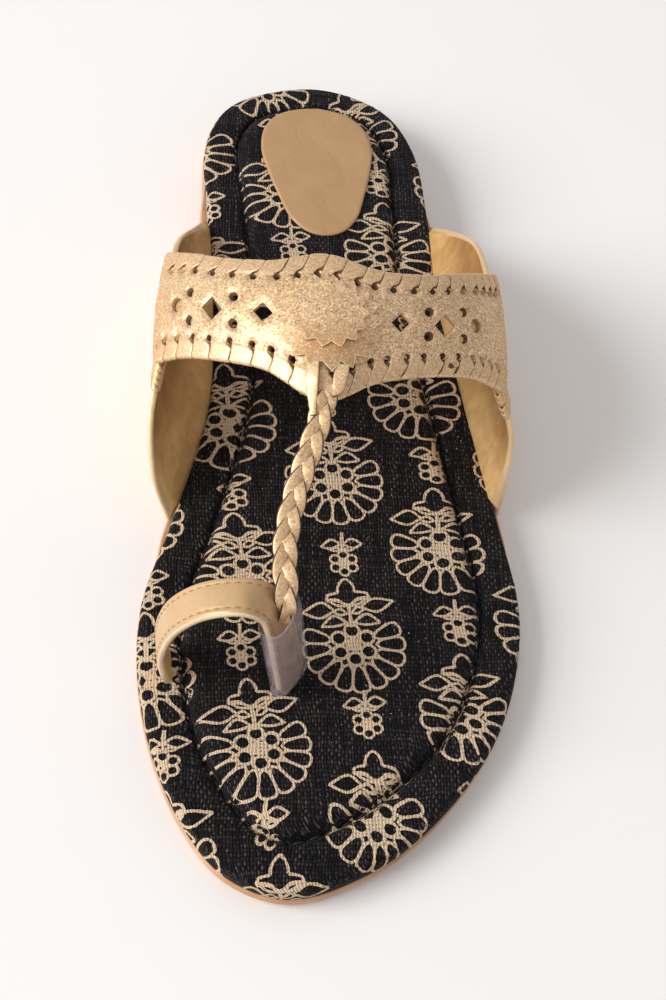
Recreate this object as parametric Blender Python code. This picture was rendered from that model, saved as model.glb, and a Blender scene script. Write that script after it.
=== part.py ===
"""A left kolhapuri sandal, modelled as a maker assembles it.

A leather outsole and a low stacked heel carry a cloth-covered footbed with a stitched-down
groove round its pad. Two half-moon wings rise beside the waist and carry a perforated instep
band. A plait runs from the band's point to the toe post, whose strap arches over the big toe.

Frame: +Z up, toe towards -Y, medial side towards -X, floor at Z = 0.
The tables are in millimetres. Along is the distance from the toe tip towards the heel, and
up is the height above the top of the forefoot's rim.
"""

import math

import bmesh
import bpy
import numpy as np

MM = 0.001
GAP = 0.3  # between pieces that touch in the real sandal
COLLECTION = "kolhapuri_sandal_left"

# Sole
SOLE_LENGTH = 253.0
HEEL_RAISE = 7.0
ARCH_START = 103.0
ARCH_END = 193.0
TOE_SPRING = 1.0
TOE_SPRING_START = 36.0
OUTSOLE_THICKNESS = 2.6
FOREFOOT_TUCK = 0.1
HEEL_LIP = 0.2
FOOTBED_THICKNESS = 5.0
PAD_HEIGHT = 2.0
GROOVE_INSET = 10.5
GROOVE_AT_TOE = 1.2
GROOVE_AT_HEEL = 0.87
LIFT_START = 148.0
LIFT_TREAD_START = 170.0
LIFT_FEATHER = 0.9
LIFT_SECTION = (
    # inset from the outsole's outline, share of the lift's height
    (1.4, 0.0),
    (0.6, 0.12),
    (0.2, 1.0),
)
HALF_STATIONS = 42

TOE_TIP_X = -13.7
HEEL_TIP_X = 3.7
OUTLINE = (
    # along, medial half-width, lateral half-width
    (5.5, 27.7, 3.9),
    (18.5, 37.4, 21.3),
    (43.0, 45.8, 39.3),
    (73.0, 47.3, 47.3),
    (103.0, 38.7, 44.7),
    (138.0, 29.4, 39.5),
    (173.0, 28.3, 33.8),
    (203.0, 29.5, 33.2),
    (230.0, 29.2, 30.8),
    (245.0, 21.0, 22.8),
)

FOOTBED_SECTION = (
    # inset from the outline, height above the footbed's underside
    (1.2, 0.0),
    (0.2, 0.7),
    (0.0, 2.0),
    (0.1, 3.4),
    (0.8, 4.5),
    (2.2, 5.0),
)
GROOVE_SECTION = (
    # inset as a share of the groove's, height above the rim's top
    (0.90, 0.0),
    (0.98, -0.8),
    (1.08, -0.6),
    (1.20, 0.9),
    (1.42, 2.0),
)
OUTSOLE_SECTION = (
    # inset from the outsole's outline, height
    (0.9, 0.0),
    (0.1, 0.8),
    (0.0, 2.1),
    (0.4, 2.6),
)

# Upper
WALL = 1.5
BAND_THICKNESS = 1.6
WING_ROWS = 7
BAND_ROWS = 29
OVERLAP_ROWS = 4
ROWS_ACROSS = 9
WING_START = 98.5
WING_END = {"medial": 196.0, "lateral": 201.0}
WING_EDGES = {
    # front and rear edge of each half-moon between its base and the band: x, along, up
    "medial": (((-44.0, 102.6, 9.0), (-45.4, 111.0, 20.0)), ((-33.8, 186.0, 14.0), (-39.0, 173.5, 26.0))),
    "lateral": (((45.9, 104.0, 9.0), (45.2, 111.0, 21.0)), ((37.6, 188.0, 15.5), (39.7, 170.0, 29.5))),
}
BAND_SECTIONS = (
    # outer face's front edge x, along, up; its rear edge x, along, up; crown: how proud its middle stands
    (-46.0, 125.0, 29.0, -42.3, 160.3, 33.0, 1.0),
    (-39.5, 123.7, 36.3, -37.7, 154.6, 39.6, 1.5),
    (-31.0, 117.8, 43.7, -30.0, 145.5, 48.0, 2.0),
    (-20.0, 109.3, 49.6, -19.0, 138.9, 55.7, 2.5),
    (-7.1, 99.2, 52.2, -5.5, 137.4, 58.8, 3.0),
    (6.0, 105.0, 51.0, 8.0, 135.4, 58.0, 2.5),
    (19.7, 111.5, 47.3, 21.0, 138.2, 54.0, 2.0),
    (32.6, 117.0, 40.5, 32.5, 144.3, 47.5, 1.5),
    (41.8, 119.5, 33.0, 41.2, 151.5, 40.0, 1.0),
)
HOLE_RADIUS = 1.05
DIAMOND_RADIUS = 2.2
HOLES = (
    # place along the band from medial 0 to lateral 1, place across it from front 0 to rear 1
    (0.076, 0.47, "hole"),
    (0.123, 0.60, "hole"),
    (0.123, 0.32, "hole"),
    (0.201, 0.46, "diamond"),
    (0.266, 0.60, "hole"),
    (0.266, 0.33, "hole"),
    (0.344, 0.48, "diamond"),
    (0.652, 0.50, "diamond"),
    (0.726, 0.61, "hole"),
    (0.726, 0.36, "hole"),
    (0.772, 0.47, "diamond"),
    (0.835, 0.61, "hole"),
    (0.835, 0.34, "hole"),
    (0.879, 0.48, "hole"),
)

# Rosette
ROSETTE_PLACE = (0.487, 0.484)
ROSETTE_LAYERS = (
    # name, radius, teeth, thickness, how far its centre lies towards the rear
    ("rosette_lower", 12.8, 19, 0.7, 0.0),
    ("rosette_upper", 9.0, 15, 0.7, 1.8),
)
TOOTH_DEPTH = 1.9

# Plait, with the two thongs that start it
PLAIT_PATH = (
    (-7.2, 97.3, 49.9),
    (-8.6, 93.2, 48.9),
    (-10.6, 87.0, 47.3),
    (-13.0, 80.4, 45.4),
    (-15.0, 73.0, 43.6),
    (-16.3, 65.6, 42.2),
    (-16.6, 59.4, 41.2),
    (-15.2, 55.3, 39.4),
    (-13.7, 52.6, 35.4),
)
PLAIT_WIDTH = 5.6
PLAIT_THICKNESS = 4.0
PLAIT_PITCH = 6.5
PLAIT_RELIEF = 0.4
PLAIT_END_SHARE = 0.6  # of its width, where it is tucked in beside the post
PLAIT_END_LENGTH = 9.0
THONG_WIDTH = 3.6
THONG_THICKNESS = 1.2
THONG_LIFT = GAP + 0.2 + THONG_THICKNESS / 2
THONG_START = 13.4  # from the rosette's centre
THONG_EDGE = 16.6
THONGS = (
    # name, its place along the band at the rosette and at the band's edge, its place across the plait
    ("thong_medial", -3.2, -3.5, -1.1),
    ("thong_lateral", 3.4, 1.9, 1.0),
)

# Toe loop, post and sleeve
LOOP_WIDTH = 9.6
LOOP_THICKNESS = 2.2
LOOP_PATH = (
    # x, along, up, turn of the strap's width from +Y towards +X in degrees
    (-12.6, 52.4, -1.6, 35.0),
    (-13.1, 52.4, 6.0, 35.0),
    (-15.6, 52.2, 20.0, 35.0),
    (-17.9, 52.4, 32.0, 32.0),
    (-20.8, 52.2, 38.2, 22.0),
    (-27.6, 52.0, 41.0, 8.0),
    (-35.0, 53.2, 36.6, 2.0),
    (-40.8, 54.8, 27.0, -2.0),
    (-42.9, 56.4, 14.0, -3.0),
    (-41.7, 57.6, 4.0, -3.0),
    (-40.2, 58.2, -1.8, -3.0),
)
POST_TIP_WIDTH = 6.0
SLEEVE_WIDTH = 13.0
SLEEVE_DEPTH = 5.2
SLEEVE_MOUTH_DEPTH = 8.0
SLEEVE_WALL = 0.6
MOUTH_SIDE = -1.0  # the side on which the plait is tucked in
SLEEVE_FOOT = 6.0
SLEEVE_HEAD = 33.0
SLOT_CLEARANCE = 0.9

# Heel badge
BADGE_HEEL_END = (1.0, 241.6)
BADGE_TOE_END = (2.3, 191.6)
BADGE_WIDTH = 32.0
BADGE_OUTLINE = (
    # share of its length from the heel end, share of its half-width
    (0.0, 0.0),
    (0.05, 0.60),
    (0.16, 0.90),
    (0.33, 1.0),
    (0.50, 0.92),
    (0.70, 0.76),
    (0.87, 0.58),
    (0.97, 0.31),
    (1.0, 0.0),
)
BADGE_THICKNESS = 0.9

FOREFOOT_TOP = OUTSOLE_THICKNESS + GAP + FOOTBED_THICKNESS

MATERIALS = {
    # name: colour, roughness, metallic
    "tan_sole_leather": ((0.50, 0.24, 0.09), 0.60, 0.0),
    "printed_black_cloth": ((0.017, 0.014, 0.015), 0.85, 0.0),
    "pale_gold_leather": ((0.66, 0.46, 0.26), 0.42, 0.35),
    "gold_badge_leather": ((0.53, 0.36, 0.19), 0.50, 0.25),
    "clear_lilac_vinyl": ((0.42, 0.36, 0.46), 0.18, 0.0),
}


def place(points):
    """Table coordinates (x, along, up) as points of the sandal's own frame, in millimetres."""
    x, along, up = np.moveaxis(np.asarray(points, float), -1, 0)
    return np.stack([x, along - SOLE_LENGTH / 2, up + FOREFOOT_TOP], axis=-1)


def smooth_step(share):
    share = np.clip(share, 0.0, 1.0)
    return share * share * (3.0 - 2.0 * share)


def rise(along):
    """How far the sole's underside stands off the floor, at the shank, heel and toe."""
    heel = HEEL_RAISE * smooth_step((along - ARCH_START) / (ARCH_END - ARCH_START))
    toe = TOE_SPRING * np.clip(1.0 - along / TOE_SPRING_START, 0.0, 1.0) ** 2
    return heel + toe


def smooth_curve(points, per_span, closed=False):
    """Points on a centripetal Catmull-Rom curve through the given points."""
    points = np.asarray(points, float)
    if closed:
        padded = np.vstack([points[-1], points, points[:2]])
    else:
        padded = np.vstack([2 * points[0] - points[1], points, 2 * points[-1] - points[-2]])
    spans = []
    for a, b, c, d in zip(padded, padded[1:], padded[2:], padded[3:]):
        ab, bc, cd = (math.sqrt(np.linalg.norm(q - p)) for p, q in ((a, b), (b, c), (c, d)))
        leave = (b - a) / ab - (c - a) / (ab + bc) + (c - b) / bc
        arrive = (c - b) / bc - (d - b) / (bc + cd) + (d - c) / cd
        t = np.linspace(0.0, 1.0, per_span, endpoint=False)[:, None]
        cubic = 2 * (b - c) + bc * (leave + arrive)
        square = -3 * (b - c) - bc * (2 * leave + arrive)
        spans.append(((cubic * t + square) * t + bc * leave) * t + b)
    return np.vstack(spans + [padded[-2][None, :]])


def resample(curve, count):
    """The same curve with its points evenly spaced."""
    lengths = np.r_[0.0, np.cumsum(np.linalg.norm(np.diff(curve, axis=0), axis=1))]
    wanted = np.linspace(0.0, lengths[-1], count)
    return np.stack([np.interp(wanted, lengths, column) for column in curve.T], axis=-1)


def unit(vectors):
    return vectors / np.linalg.norm(vectors, axis=-1, keepdims=True)


# ---------------------------------------------------------------- meshes


def material(name):
    made = bpy.data.materials.get(name)
    if made is None:
        colour, roughness, metallic = MATERIALS[name]
        made = bpy.data.materials.new(name)
        made.use_nodes = True
        shader = made.node_tree.nodes["Principled BSDF"]
        shader.inputs["Base Color"].default_value = (*colour, 1.0)
        shader.inputs["Roughness"].default_value = roughness
        shader.inputs["Metallic"].default_value = metallic
        made.diffuse_color = (*colour, 1.0)
    return made


def mesh_object(name, points, faces, finish, collection=COLLECTION):
    """One closed object from points in millimetres. Corners that coincide become one vertex."""
    work = bmesh.new()
    vertices = {}
    for face in faces:
        corners = []
        for point in (points[index] for index in face):
            key = tuple(np.round(point, 4))
            if key not in vertices:
                vertices[key] = work.verts.new(np.asarray(point) * MM)
            if vertices[key] not in corners:
                corners.append(vertices[key])
        if len(corners) > 2:
            work.faces.new(corners)
    bmesh.ops.recalc_face_normals(work, faces=work.faces)
    mesh = bpy.data.meshes.new(name)
    work.to_mesh(mesh)
    work.free()
    mesh.shade_smooth()
    mesh.set_sharp_from_angle(angle=math.radians(40))
    made = bpy.data.objects.new(name, mesh)
    if finish:
        mesh.materials.append(material(finish))
    bpy.data.collections[collection].objects.link(made)
    return made


def ladder_solid(name, rings, finish):
    """A solid between stacked rings, capped rung by rung so that the caps follow the sole's curve."""
    size = len(rings[0])
    points = np.vstack(rings)
    faces = []
    for low in range(0, size * (len(rings) - 1), size):
        for j in range(size):
            k = (j + 1) % size
            faces.append((low + j, low + k, low + size + k, low + size + j))
    for base in (0, size * (len(rings) - 1)):
        for j in range(size // 2):
            faces.append((base + j, base + j + 1, base + size - 2 - j, base + size - 1 - j))
    return mesh_object(name, points, faces, finish)


def tube_faces(rings, around, closed_on_itself=False):
    faces = []
    for i in range(rings if closed_on_itself else rings - 1):
        low, high = i * around, (i + 1) % rings * around
        for j in range(around):
            k = (j + 1) % around
            faces.append((low + j, low + k, high + k, high + j))
    return faces


def sweep_solid(name, rings, finish, collection=COLLECTION):
    """A solid through rings of equal size, closed by a flat face at each end."""
    rings = np.asarray(rings)
    count, around = rings.shape[:2]
    faces = tube_faces(count, around)
    faces.append(tuple(range(around)))
    faces.append(tuple((count - 1) * around + j for j in range(around)))
    return mesh_object(name, rings.reshape(-1, 3), faces, finish, collection)


def sheet_solid(name, outer, inner, finish):
    """A sheet with a wall: two grids of equal size, joined along their four edges."""
    rows, columns = outer.shape[:2]
    points = np.vstack([outer.reshape(-1, 3), inner.reshape(-1, 3)])
    shift = rows * columns
    faces = []
    for i in range(rows - 1):
        for j in range(columns - 1):
            a = i * columns + j
            quad = (a, a + 1, a + columns + 1, a + columns)
            faces.append(quad)
            faces.append(tuple(shift + corner for corner in quad))
    edges = [(i * columns + j, (i + 1) * columns + j) for i in range(rows - 1) for j in (0, columns - 1)]
    edges += [(i * columns + j, i * columns + j + 1) for j in range(columns - 1) for i in (0, rows - 1)]
    faces += [(a, b, shift + b, shift + a) for a, b in edges]
    return mesh_object(name, points, faces, finish)


def boolean(target, cutter, operation="DIFFERENCE"):
    cutter.hide_render = True
    cutter.display_type = "WIRE"
    modifier = target.modifiers.new(operation.title() + " " + cutter.name, "BOOLEAN")
    modifier.operation = operation
    modifier.object = cutter
    modifier.solver = "EXACT"


# ---------------------------------------------------------------- sole


def outline():
    """The footbed's outline from the toe down the medial side to the heel and back: (x, along) rows."""
    toe, heel = (TOE_TIP_X, 0.0), (HEEL_TIP_X, SOLE_LENGTH)
    medial = [(-width, along) for along, width, _ in OUTLINE]
    lateral = [(width, along) for along, _, width in reversed(OUTLINE)]
    per_span = 24
    dense = smooth_curve([toe, *medial, heel, *lateral], per_span, closed=True)
    at_heel = per_span * (len(medial) + 1)
    turn = np.linspace(0.0, math.pi, HALF_STATIONS + 1)
    stations = SOLE_LENGTH * (1.0 - np.cos(turn)) / 2
    sides = []
    for side in (dense[: at_heel + 1], dense[at_heel:][::-1]):
        along = np.maximum.accumulate(side[:, 1])
        sides.append(np.stack([np.interp(stations, along, side[:, 0]), stations], axis=-1))
    return np.vstack([sides[0], sides[1][::-1][1:]])


def inset_outline(loop, inset):
    """The outline moved inwards by a distance, which may differ from point to point."""
    ring = loop[:-1]
    tangent = unit(np.roll(ring, -1, axis=0) - np.roll(ring, 1, axis=0))
    inward = np.stack([tangent[:, 1], -tangent[:, 0]], axis=-1)
    moved = ring + inward * np.broadcast_to(inset, len(loop))[:-1, None]
    return np.vstack([moved, moved[:1]])


def on_sole(loop, height):
    """A ring at a height above the sole's underside, which follows the arch."""
    z = rise(loop[:, 1]) + height
    return np.column_stack([loop[:, 0], loop[:, 1] - SOLE_LENGTH / 2, z])


def outsole_lip(along):
    """How far the outsole stands proud of the footbed: flush at the forefoot, wide below the wings."""
    start = smooth_step((along - WING_START + 14.0) / 16.0)
    end = smooth_step((along - WING_END["lateral"]) / 16.0)
    below_wings = WALL + GAP
    return (below_wings + FOREFOOT_TUCK) * start - FOREFOOT_TUCK - (below_wings - HEEL_LIP) * end


def outsole_outline(loop):
    return inset_outline(loop, -outsole_lip(loop[:, 1]))


def make_outsole(loop):
    edge = outsole_outline(loop)
    rings = [on_sole(inset_outline(edge, inset), height) for inset, height in OUTSOLE_SECTION]
    return ladder_solid("outsole", rings, "tan_sole_leather")


def make_heel_lift(loop):
    """The stacked heel: level underneath, feathered out at its front below the arch."""
    edge = outsole_outline(loop)
    stations = loop[:, 1]
    first = int(np.argmax(stations >= LIFT_START))
    part = slice(first, len(loop) - first)
    rings = []
    for inset, share in LIFT_SECTION:
        ring = inset_outline(edge, inset)[part]
        top = rise(ring[:, 1]) - GAP
        skive = np.clip((LIFT_TREAD_START - ring[:, 1]) / (LIFT_TREAD_START - stations[first]), 0.0, 1.0)
        bottom = (top - LIFT_FEATHER) * skive**1.5
        z = bottom + (top - bottom) * share
        rings.append(np.column_stack([ring[:, 0], ring[:, 1] - SOLE_LENGTH / 2, z]))
    return ladder_solid("heel_lift", rings, "tan_sole_leather")


def groove_inset(along):
    """The groove keeps further from the edge at the toe and nearer to it round the heel."""
    toe = smooth_step(1.0 - along / 40.0)
    heel = smooth_step((along - 190.0) / 40.0)
    return GROOVE_INSET * (1.0 + (GROOVE_AT_TOE - 1.0) * toe + (GROOVE_AT_HEEL - 1.0) * heel)


def make_footbed(loop):
    base = OUTSOLE_THICKNESS + GAP
    rings = [on_sole(inset_outline(loop, inset), base + height) for inset, height in FOOTBED_SECTION]
    for share, height in GROOVE_SECTION:
        ring = inset_outline(loop, groove_inset(loop[:, 1]) * share)
        rings.append(on_sole(ring, FOREFOOT_TOP + height))
    footbed = ladder_solid("footbed", rings, "printed_black_cloth")
    slots = (("post_slot", LOOP_PATH[0], POST_TIP_WIDTH), ("loop_slot", LOOP_PATH[-1], LOOP_WIDTH))
    for name, end, width in slots:
        boolean(footbed, slot_cutter(name, end, width))
    return footbed


def slot_cutter(name, end, width):
    """A slot that takes a strap's end with clearance all round, cut well into the footbed."""
    x, along, up, turn = end
    bpy.ops.mesh.primitive_cube_add(size=1.0)
    cutter = bpy.context.object
    cutter.name = name
    depth = 14.0
    cutter.scale = (
        (LOOP_THICKNESS + 2 * SLOT_CLEARANCE) * MM,
        (width + 2 * SLOT_CLEARANCE) * MM,
        depth * MM,
    )
    floor = up - GAP - SLOT_CLEARANCE
    cutter.location = place((x, along, floor + depth / 2)) * MM
    cutter.rotation_euler.z = -math.radians(turn)
    for collection in list(cutter.users_collection):
        collection.objects.unlink(cutter)
    bpy.data.collections["cutters"].objects.link(cutter)
    return cutter


def make_heel_badge():
    """A thin leather egg on the heel seat, with its narrow end towards the toe."""
    heel, toe = np.array(BADGE_HEEL_END), np.array(BADGE_TOE_END)
    length = np.linalg.norm(toe - heel)
    half = [(share * length, width * BADGE_WIDTH / 2) for share, width in BADGE_OUTLINE]
    mirrored = [(reach, -width) for reach, width in half[-2:0:-1]]
    edge = smooth_curve(half + mirrored, 3, closed=True)[:-1]
    middle = np.array([length / 2, 0.0])
    ahead = (toe - heel) / length
    aside = np.array([-ahead[1], ahead[0]])
    rings = []
    for shrink, height in ((1.0, 0.0), (1.0, BADGE_THICKNESS - 0.3), (0.97, BADGE_THICKNESS)):
        flat = middle + (edge - middle) * shrink
        spread = heel + flat[:, :1] * ahead + flat[:, 1:] * aside
        up = rise(spread[:, 1]) + PAD_HEIGHT + GAP + height
        rings.append(place(np.column_stack([spread, up])))
    return sweep_solid("heel_badge", rings, "gold_badge_leather")


# ---------------------------------------------------------------- upper


def band_grid(rows):
    """Points of the band's underside, from its medial to its lateral end and from front to rear."""
    sections = smooth_curve(BAND_SECTIONS, 12)
    middle = place((sections[:, :3] + sections[:, 3:6]) / 2)
    lengths = np.r_[0.0, np.cumsum(np.linalg.norm(np.diff(middle, axis=0), axis=1))]
    wanted = np.linspace(0.0, lengths[-1], rows)
    sections = np.stack([np.interp(wanted, lengths, column) for column in sections.T], axis=-1)
    front, rear = place(sections[:, :3]), place(sections[:, 3:6])
    across = rear - front
    up = unit(np.cross(np.gradient((front + rear) / 2, axis=0), across))
    share = np.linspace(0.0, 1.0, ROWS_ACROSS)[None, :, None]
    crown = 4.0 * share * (1.0 - share) * sections[:, 6][:, None, None]
    outer = front[:, None] + across[:, None] * share + up[:, None] * crown
    return outer - up[:, None] * BAND_THICKNESS


def wing_grid(loop, side, top):
    """A half-moon from its base beside the footbed up to the band's end: a patch between four edges."""
    sign = -1.0 if side == "medial" else 1.0
    edge = inset_outline(loop, -WALL - GAP)
    half = edge[: HALF_STATIONS + 1] if side == "medial" else edge[HALF_STATIONS:][::-1]
    stations = np.linspace(WING_START, WING_END[side], ROWS_ACROSS)
    x = np.interp(stations, half[:, 1], half[:, 0])
    foot = rise(stations) + OUTSOLE_THICKNESS + GAP
    base = np.column_stack([x, stations - SOLE_LENGTH / 2, foot])
    front, rear = (
        resample(smooth_curve(np.vstack([base[end], place(points), top[end]]), 10), WING_ROWS)
        for end, points in zip((0, -1), WING_EDGES[side])
    )
    u = np.linspace(0.0, 1.0, WING_ROWS)[:, None, None]
    t = np.linspace(0.0, 1.0, ROWS_ACROSS)[None, :, None]
    lengthwise = (1 - u) * base[None] + u * top[None]
    upward = (1 - t) * front[:, None] + t * rear[:, None]
    corners = (1 - u) * ((1 - t) * base[0] + t * base[-1]) + u * ((1 - t) * top[0] + t * top[-1])
    return lengthwise + upward - corners


def upper_grid(loop):
    """The face where band and wings meet, and its normals: medial wing, band, lateral wing."""
    band = band_grid(BAND_ROWS)
    medial = wing_grid(loop, "medial", band[0])
    lateral = wing_grid(loop, "lateral", band[-1])
    grid = np.concatenate([medial[:-1], band, lateral[::-1][1:]])
    along_rows, across = np.gradient(grid, axis=0), np.gradient(grid, axis=1)
    return grid, unit(np.cross(along_rows, across))


def wall_steps():
    """For each row of the upper: (row, outer offset, inner offset). The band laps over each wing's top."""
    first, last = WING_ROWS - 1, WING_ROWS + BAND_ROWS - 2
    steps = [(row, 0.0, -WALL) for row in range(first + 1)]
    steps += [(row, BAND_THICKNESS, -WALL) for row in range(first, first + OVERLAP_ROWS + 1)]
    steps += [(row, BAND_THICKNESS, 0.0) for row in range(first + OVERLAP_ROWS, last - OVERLAP_ROWS + 1)]
    steps += [(row, BAND_THICKNESS, -WALL) for row in range(last - OVERLAP_ROWS, last + 1)]
    steps += [(row, 0.0, -WALL) for row in range(last, last + WING_ROWS)]
    return steps


def band_frame(along_band, across_band):
    """A point of the band's underside with its normal and the two directions in the band there."""
    rows = 8 * (BAND_ROWS - 1) + 1
    grid = band_grid(rows)
    i, j = along_band * (rows - 1), across_band * (ROWS_ACROSS - 1)
    i0, j0 = min(int(i), rows - 2), min(int(j), ROWS_ACROSS - 2)
    a, b = i - i0, j - j0
    cell = grid[i0 : i0 + 2, j0 : j0 + 2]
    point = (1 - a) * ((1 - b) * cell[0, 0] + b * cell[0, 1]) + a * ((1 - b) * cell[1, 0] + b * cell[1, 1])
    length = unit(grid[i0 + 1, j0] - grid[i0, j0])
    width = grid[i0, j0 + 1] - grid[i0, j0]
    normal = unit(np.cross(length, width))
    return point, normal, length, np.cross(normal, length)


def hole_cutters():
    """Prisms through the band, as one object: diamonds along its middle and pairs of round holes.

    Where a wing lies behind the band, a hole stops at the wing.
    """
    points, faces = [], []
    for along_band, across_band, kind in HOLES:
        centre, normal, length, width = band_frame(along_band, across_band)
        sides, radius = (4, DIAMOND_RADIUS) if kind == "diamond" else (8, HOLE_RADIUS)
        turn = np.arange(sides) * 2 * math.pi / sides
        ring = centre + radius * (np.cos(turn)[:, None] * length + np.sin(turn)[:, None] * width)
        start = len(points)
        overlap = OVERLAP_ROWS / (BAND_ROWS - 1)
        blind = min(along_band, 1.0 - along_band) < overlap
        depth = 0.2 if blind else 5.0
        points += list(ring - normal * depth) + list(ring + normal * 5.0)
        faces += [tuple(start + corner for corner in face) for face in tube_faces(2, sides)]
        faces.append(tuple(range(start, start + sides)))
        faces.append(tuple(range(start + sides, start + 2 * sides)))
    return mesh_object("band_holes", points, faces, None, "cutters")


def make_upper(loop):
    grid, normals = upper_grid(loop)
    steps = wall_steps()
    outer = np.stack([grid[row] + normals[row] * out for row, out, _ in steps])
    inner = np.stack([grid[row] + normals[row] * into for row, _, into in steps])
    upper = sheet_solid("upper", outer, inner, "pale_gold_leather")
    boolean(upper, hole_cutters())
    return upper


def on_band(along_mm, towards_rear_mm, lift):
    """A point over the band's outer face, from distances off the rosette's centre."""
    sections = band_grid(BAND_ROWS)
    band_length = np.linalg.norm(np.diff(sections[:, ROWS_ACROSS // 2], axis=0), axis=1).sum()
    share = ROSETTE_PLACE[0] + along_mm / band_length
    row = sections[min(int(share * (BAND_ROWS - 1)), BAND_ROWS - 1)]
    band_width = np.linalg.norm(np.diff(row, axis=0), axis=1).sum()
    point, normal, _, _ = band_frame(share, ROSETTE_PLACE[1] + towards_rear_mm / band_width)
    return point + normal * (BAND_THICKNESS + lift)


def make_rosettes():
    """Two pinked discs of leather on the crown of the band."""
    lift = GAP
    for name, radius, teeth, thickness, back in ROSETTE_LAYERS:
        around = 2 * teeth
        turn = np.arange(around) * math.pi / teeth
        edge = radius - TOOTH_DEPTH * (np.arange(around) % 2)
        faces_at = []
        for height in (lift, lift + thickness):
            rings = [[on_band(0.0, back, height)] * around]
            for share in (0.35, 0.7, 1.0):
                reach = edge if share == 1.0 else np.full(around, share * radius)
                ring = zip(reach * np.cos(turn), reach * np.sin(turn))
                rings.append([on_band(a, back + b, height) for a, b in ring])
            faces_at.append(rings)
        rings = np.array(faces_at[0] + faces_at[1][::-1])
        faces = tube_faces(len(rings), around)
        mesh_object(name, rings.reshape(-1, 3), faces, "pale_gold_leather")
        lift += thickness + GAP


# ---------------------------------------------------------------- plait, loop and post


def frames(path, widths):
    """Tangent-square width and thickness directions for each point of a path."""
    tangent = unit(np.gradient(path, axis=0))
    across = unit(widths - tangent * np.sum(widths * tangent, axis=1, keepdims=True))
    return across, np.cross(tangent, across)


def strap_rings(path, widths, width, thickness, chamfer=0.5):
    """Rings of a flat strap with softened corners; its width may change along the path."""
    across, through = frames(path, widths)
    half = np.broadcast_to(width, len(path)) / 2
    deep = thickness / 2
    rings = []
    for point, side, up, reach in zip(path, across, through, half):
        corners = (
            (reach, deep - chamfer), (reach - chamfer, deep), (chamfer - reach, deep), (-reach, deep - chamfer),
            (-reach, chamfer - deep), (chamfer - reach, -deep), (reach - chamfer, -deep), (reach, chamfer - deep),
        )
        rings.append([point + side * a + up * b for a, b in corners])
    return rings


def make_plait():
    """Three strands plaited flat, with lobes to each side in turn, and two thongs over the band's edge."""
    path = resample(smooth_curve(place(PLAIT_PATH), 10), 34)
    across, through = frames(path, np.tile([1.0, 0.0, 0.0], (len(path), 1)))
    lengths = np.r_[0.0, np.cumsum(np.linalg.norm(np.diff(path, axis=0), axis=1))]
    turn = np.linspace(0.0, 2 * math.pi, 12, endpoint=False)
    rings = []
    for point, side, up, length in zip(path, across, through, lengths):
        phase = 2 * math.pi * length / PLAIT_PITCH + math.pi / 2 * (1.0 + np.cos(turn))
        swell = 1.0 + PLAIT_RELIEF * np.cos(phase) / (PLAIT_THICKNESS / 2)
        from_end = (lengths[-1] - length) / PLAIT_END_LENGTH
        narrow = PLAIT_END_SHARE + (1.0 - PLAIT_END_SHARE) * smooth_step(from_end)
        x = PLAIT_WIDTH / 2 * narrow * np.cos(turn) * (1.0 + (swell - 1.0) * 0.6)
        z = PLAIT_THICKNESS / 2 * narrow * np.sin(turn) * swell
        rings.append(point + side * x[:, None] + up * z[:, None])
    plait = sweep_solid("plait", rings, "pale_gold_leather")
    for name, at_rosette, at_edge, beside in THONGS:
        stops = []
        for share, reach in ((0.0, THONG_START), (0.5, (THONG_START + THONG_EDGE) / 2), (1.0, THONG_EDGE)):
            along_band = at_rosette + (at_edge - at_rosette) * share
            centre, right = (on_band(along_band + step, -reach, THONG_LIFT) for step in (0.0, 1.0))
            stops.append(np.r_[centre, right - centre])
        stops.append(np.r_[path[2] + across[2] * beside + through[2] * 0.4, across[2]])
        route = resample(smooth_curve(stops, 8), 10)
        rings = strap_rings(route[:, :3], route[:, 3:], THONG_WIDTH, THONG_THICKNESS, 0.3)
        thong = sweep_solid(name, rings, "pale_gold_leather", "cutters")
        boolean(plait, thong, "UNION")
    return plait


def loop_path(count):
    """The loop's centre line and the direction of its width at each point."""
    table = resample(smooth_curve(LOOP_PATH, 10), count)
    turn = np.radians(table[:, 3])
    widths = np.column_stack([np.sin(turn), np.cos(turn), np.zeros(count)])
    return place(table[:, :3]), widths


def make_toe_loop():
    path, widths = loop_path(40)
    taper = smooth_step((path[:, 2] - FOREFOOT_TOP - 2.0) / 5.0)
    at_post = np.arange(len(path)) < len(path) // 2
    width = np.where(at_post, POST_TIP_WIDTH + (LOOP_WIDTH - POST_TIP_WIDTH) * taper, LOOP_WIDTH)
    return sweep_solid("toe_loop", strap_rings(path, widths, width, LOOP_THICKNESS), "pale_gold_leather")


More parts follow.
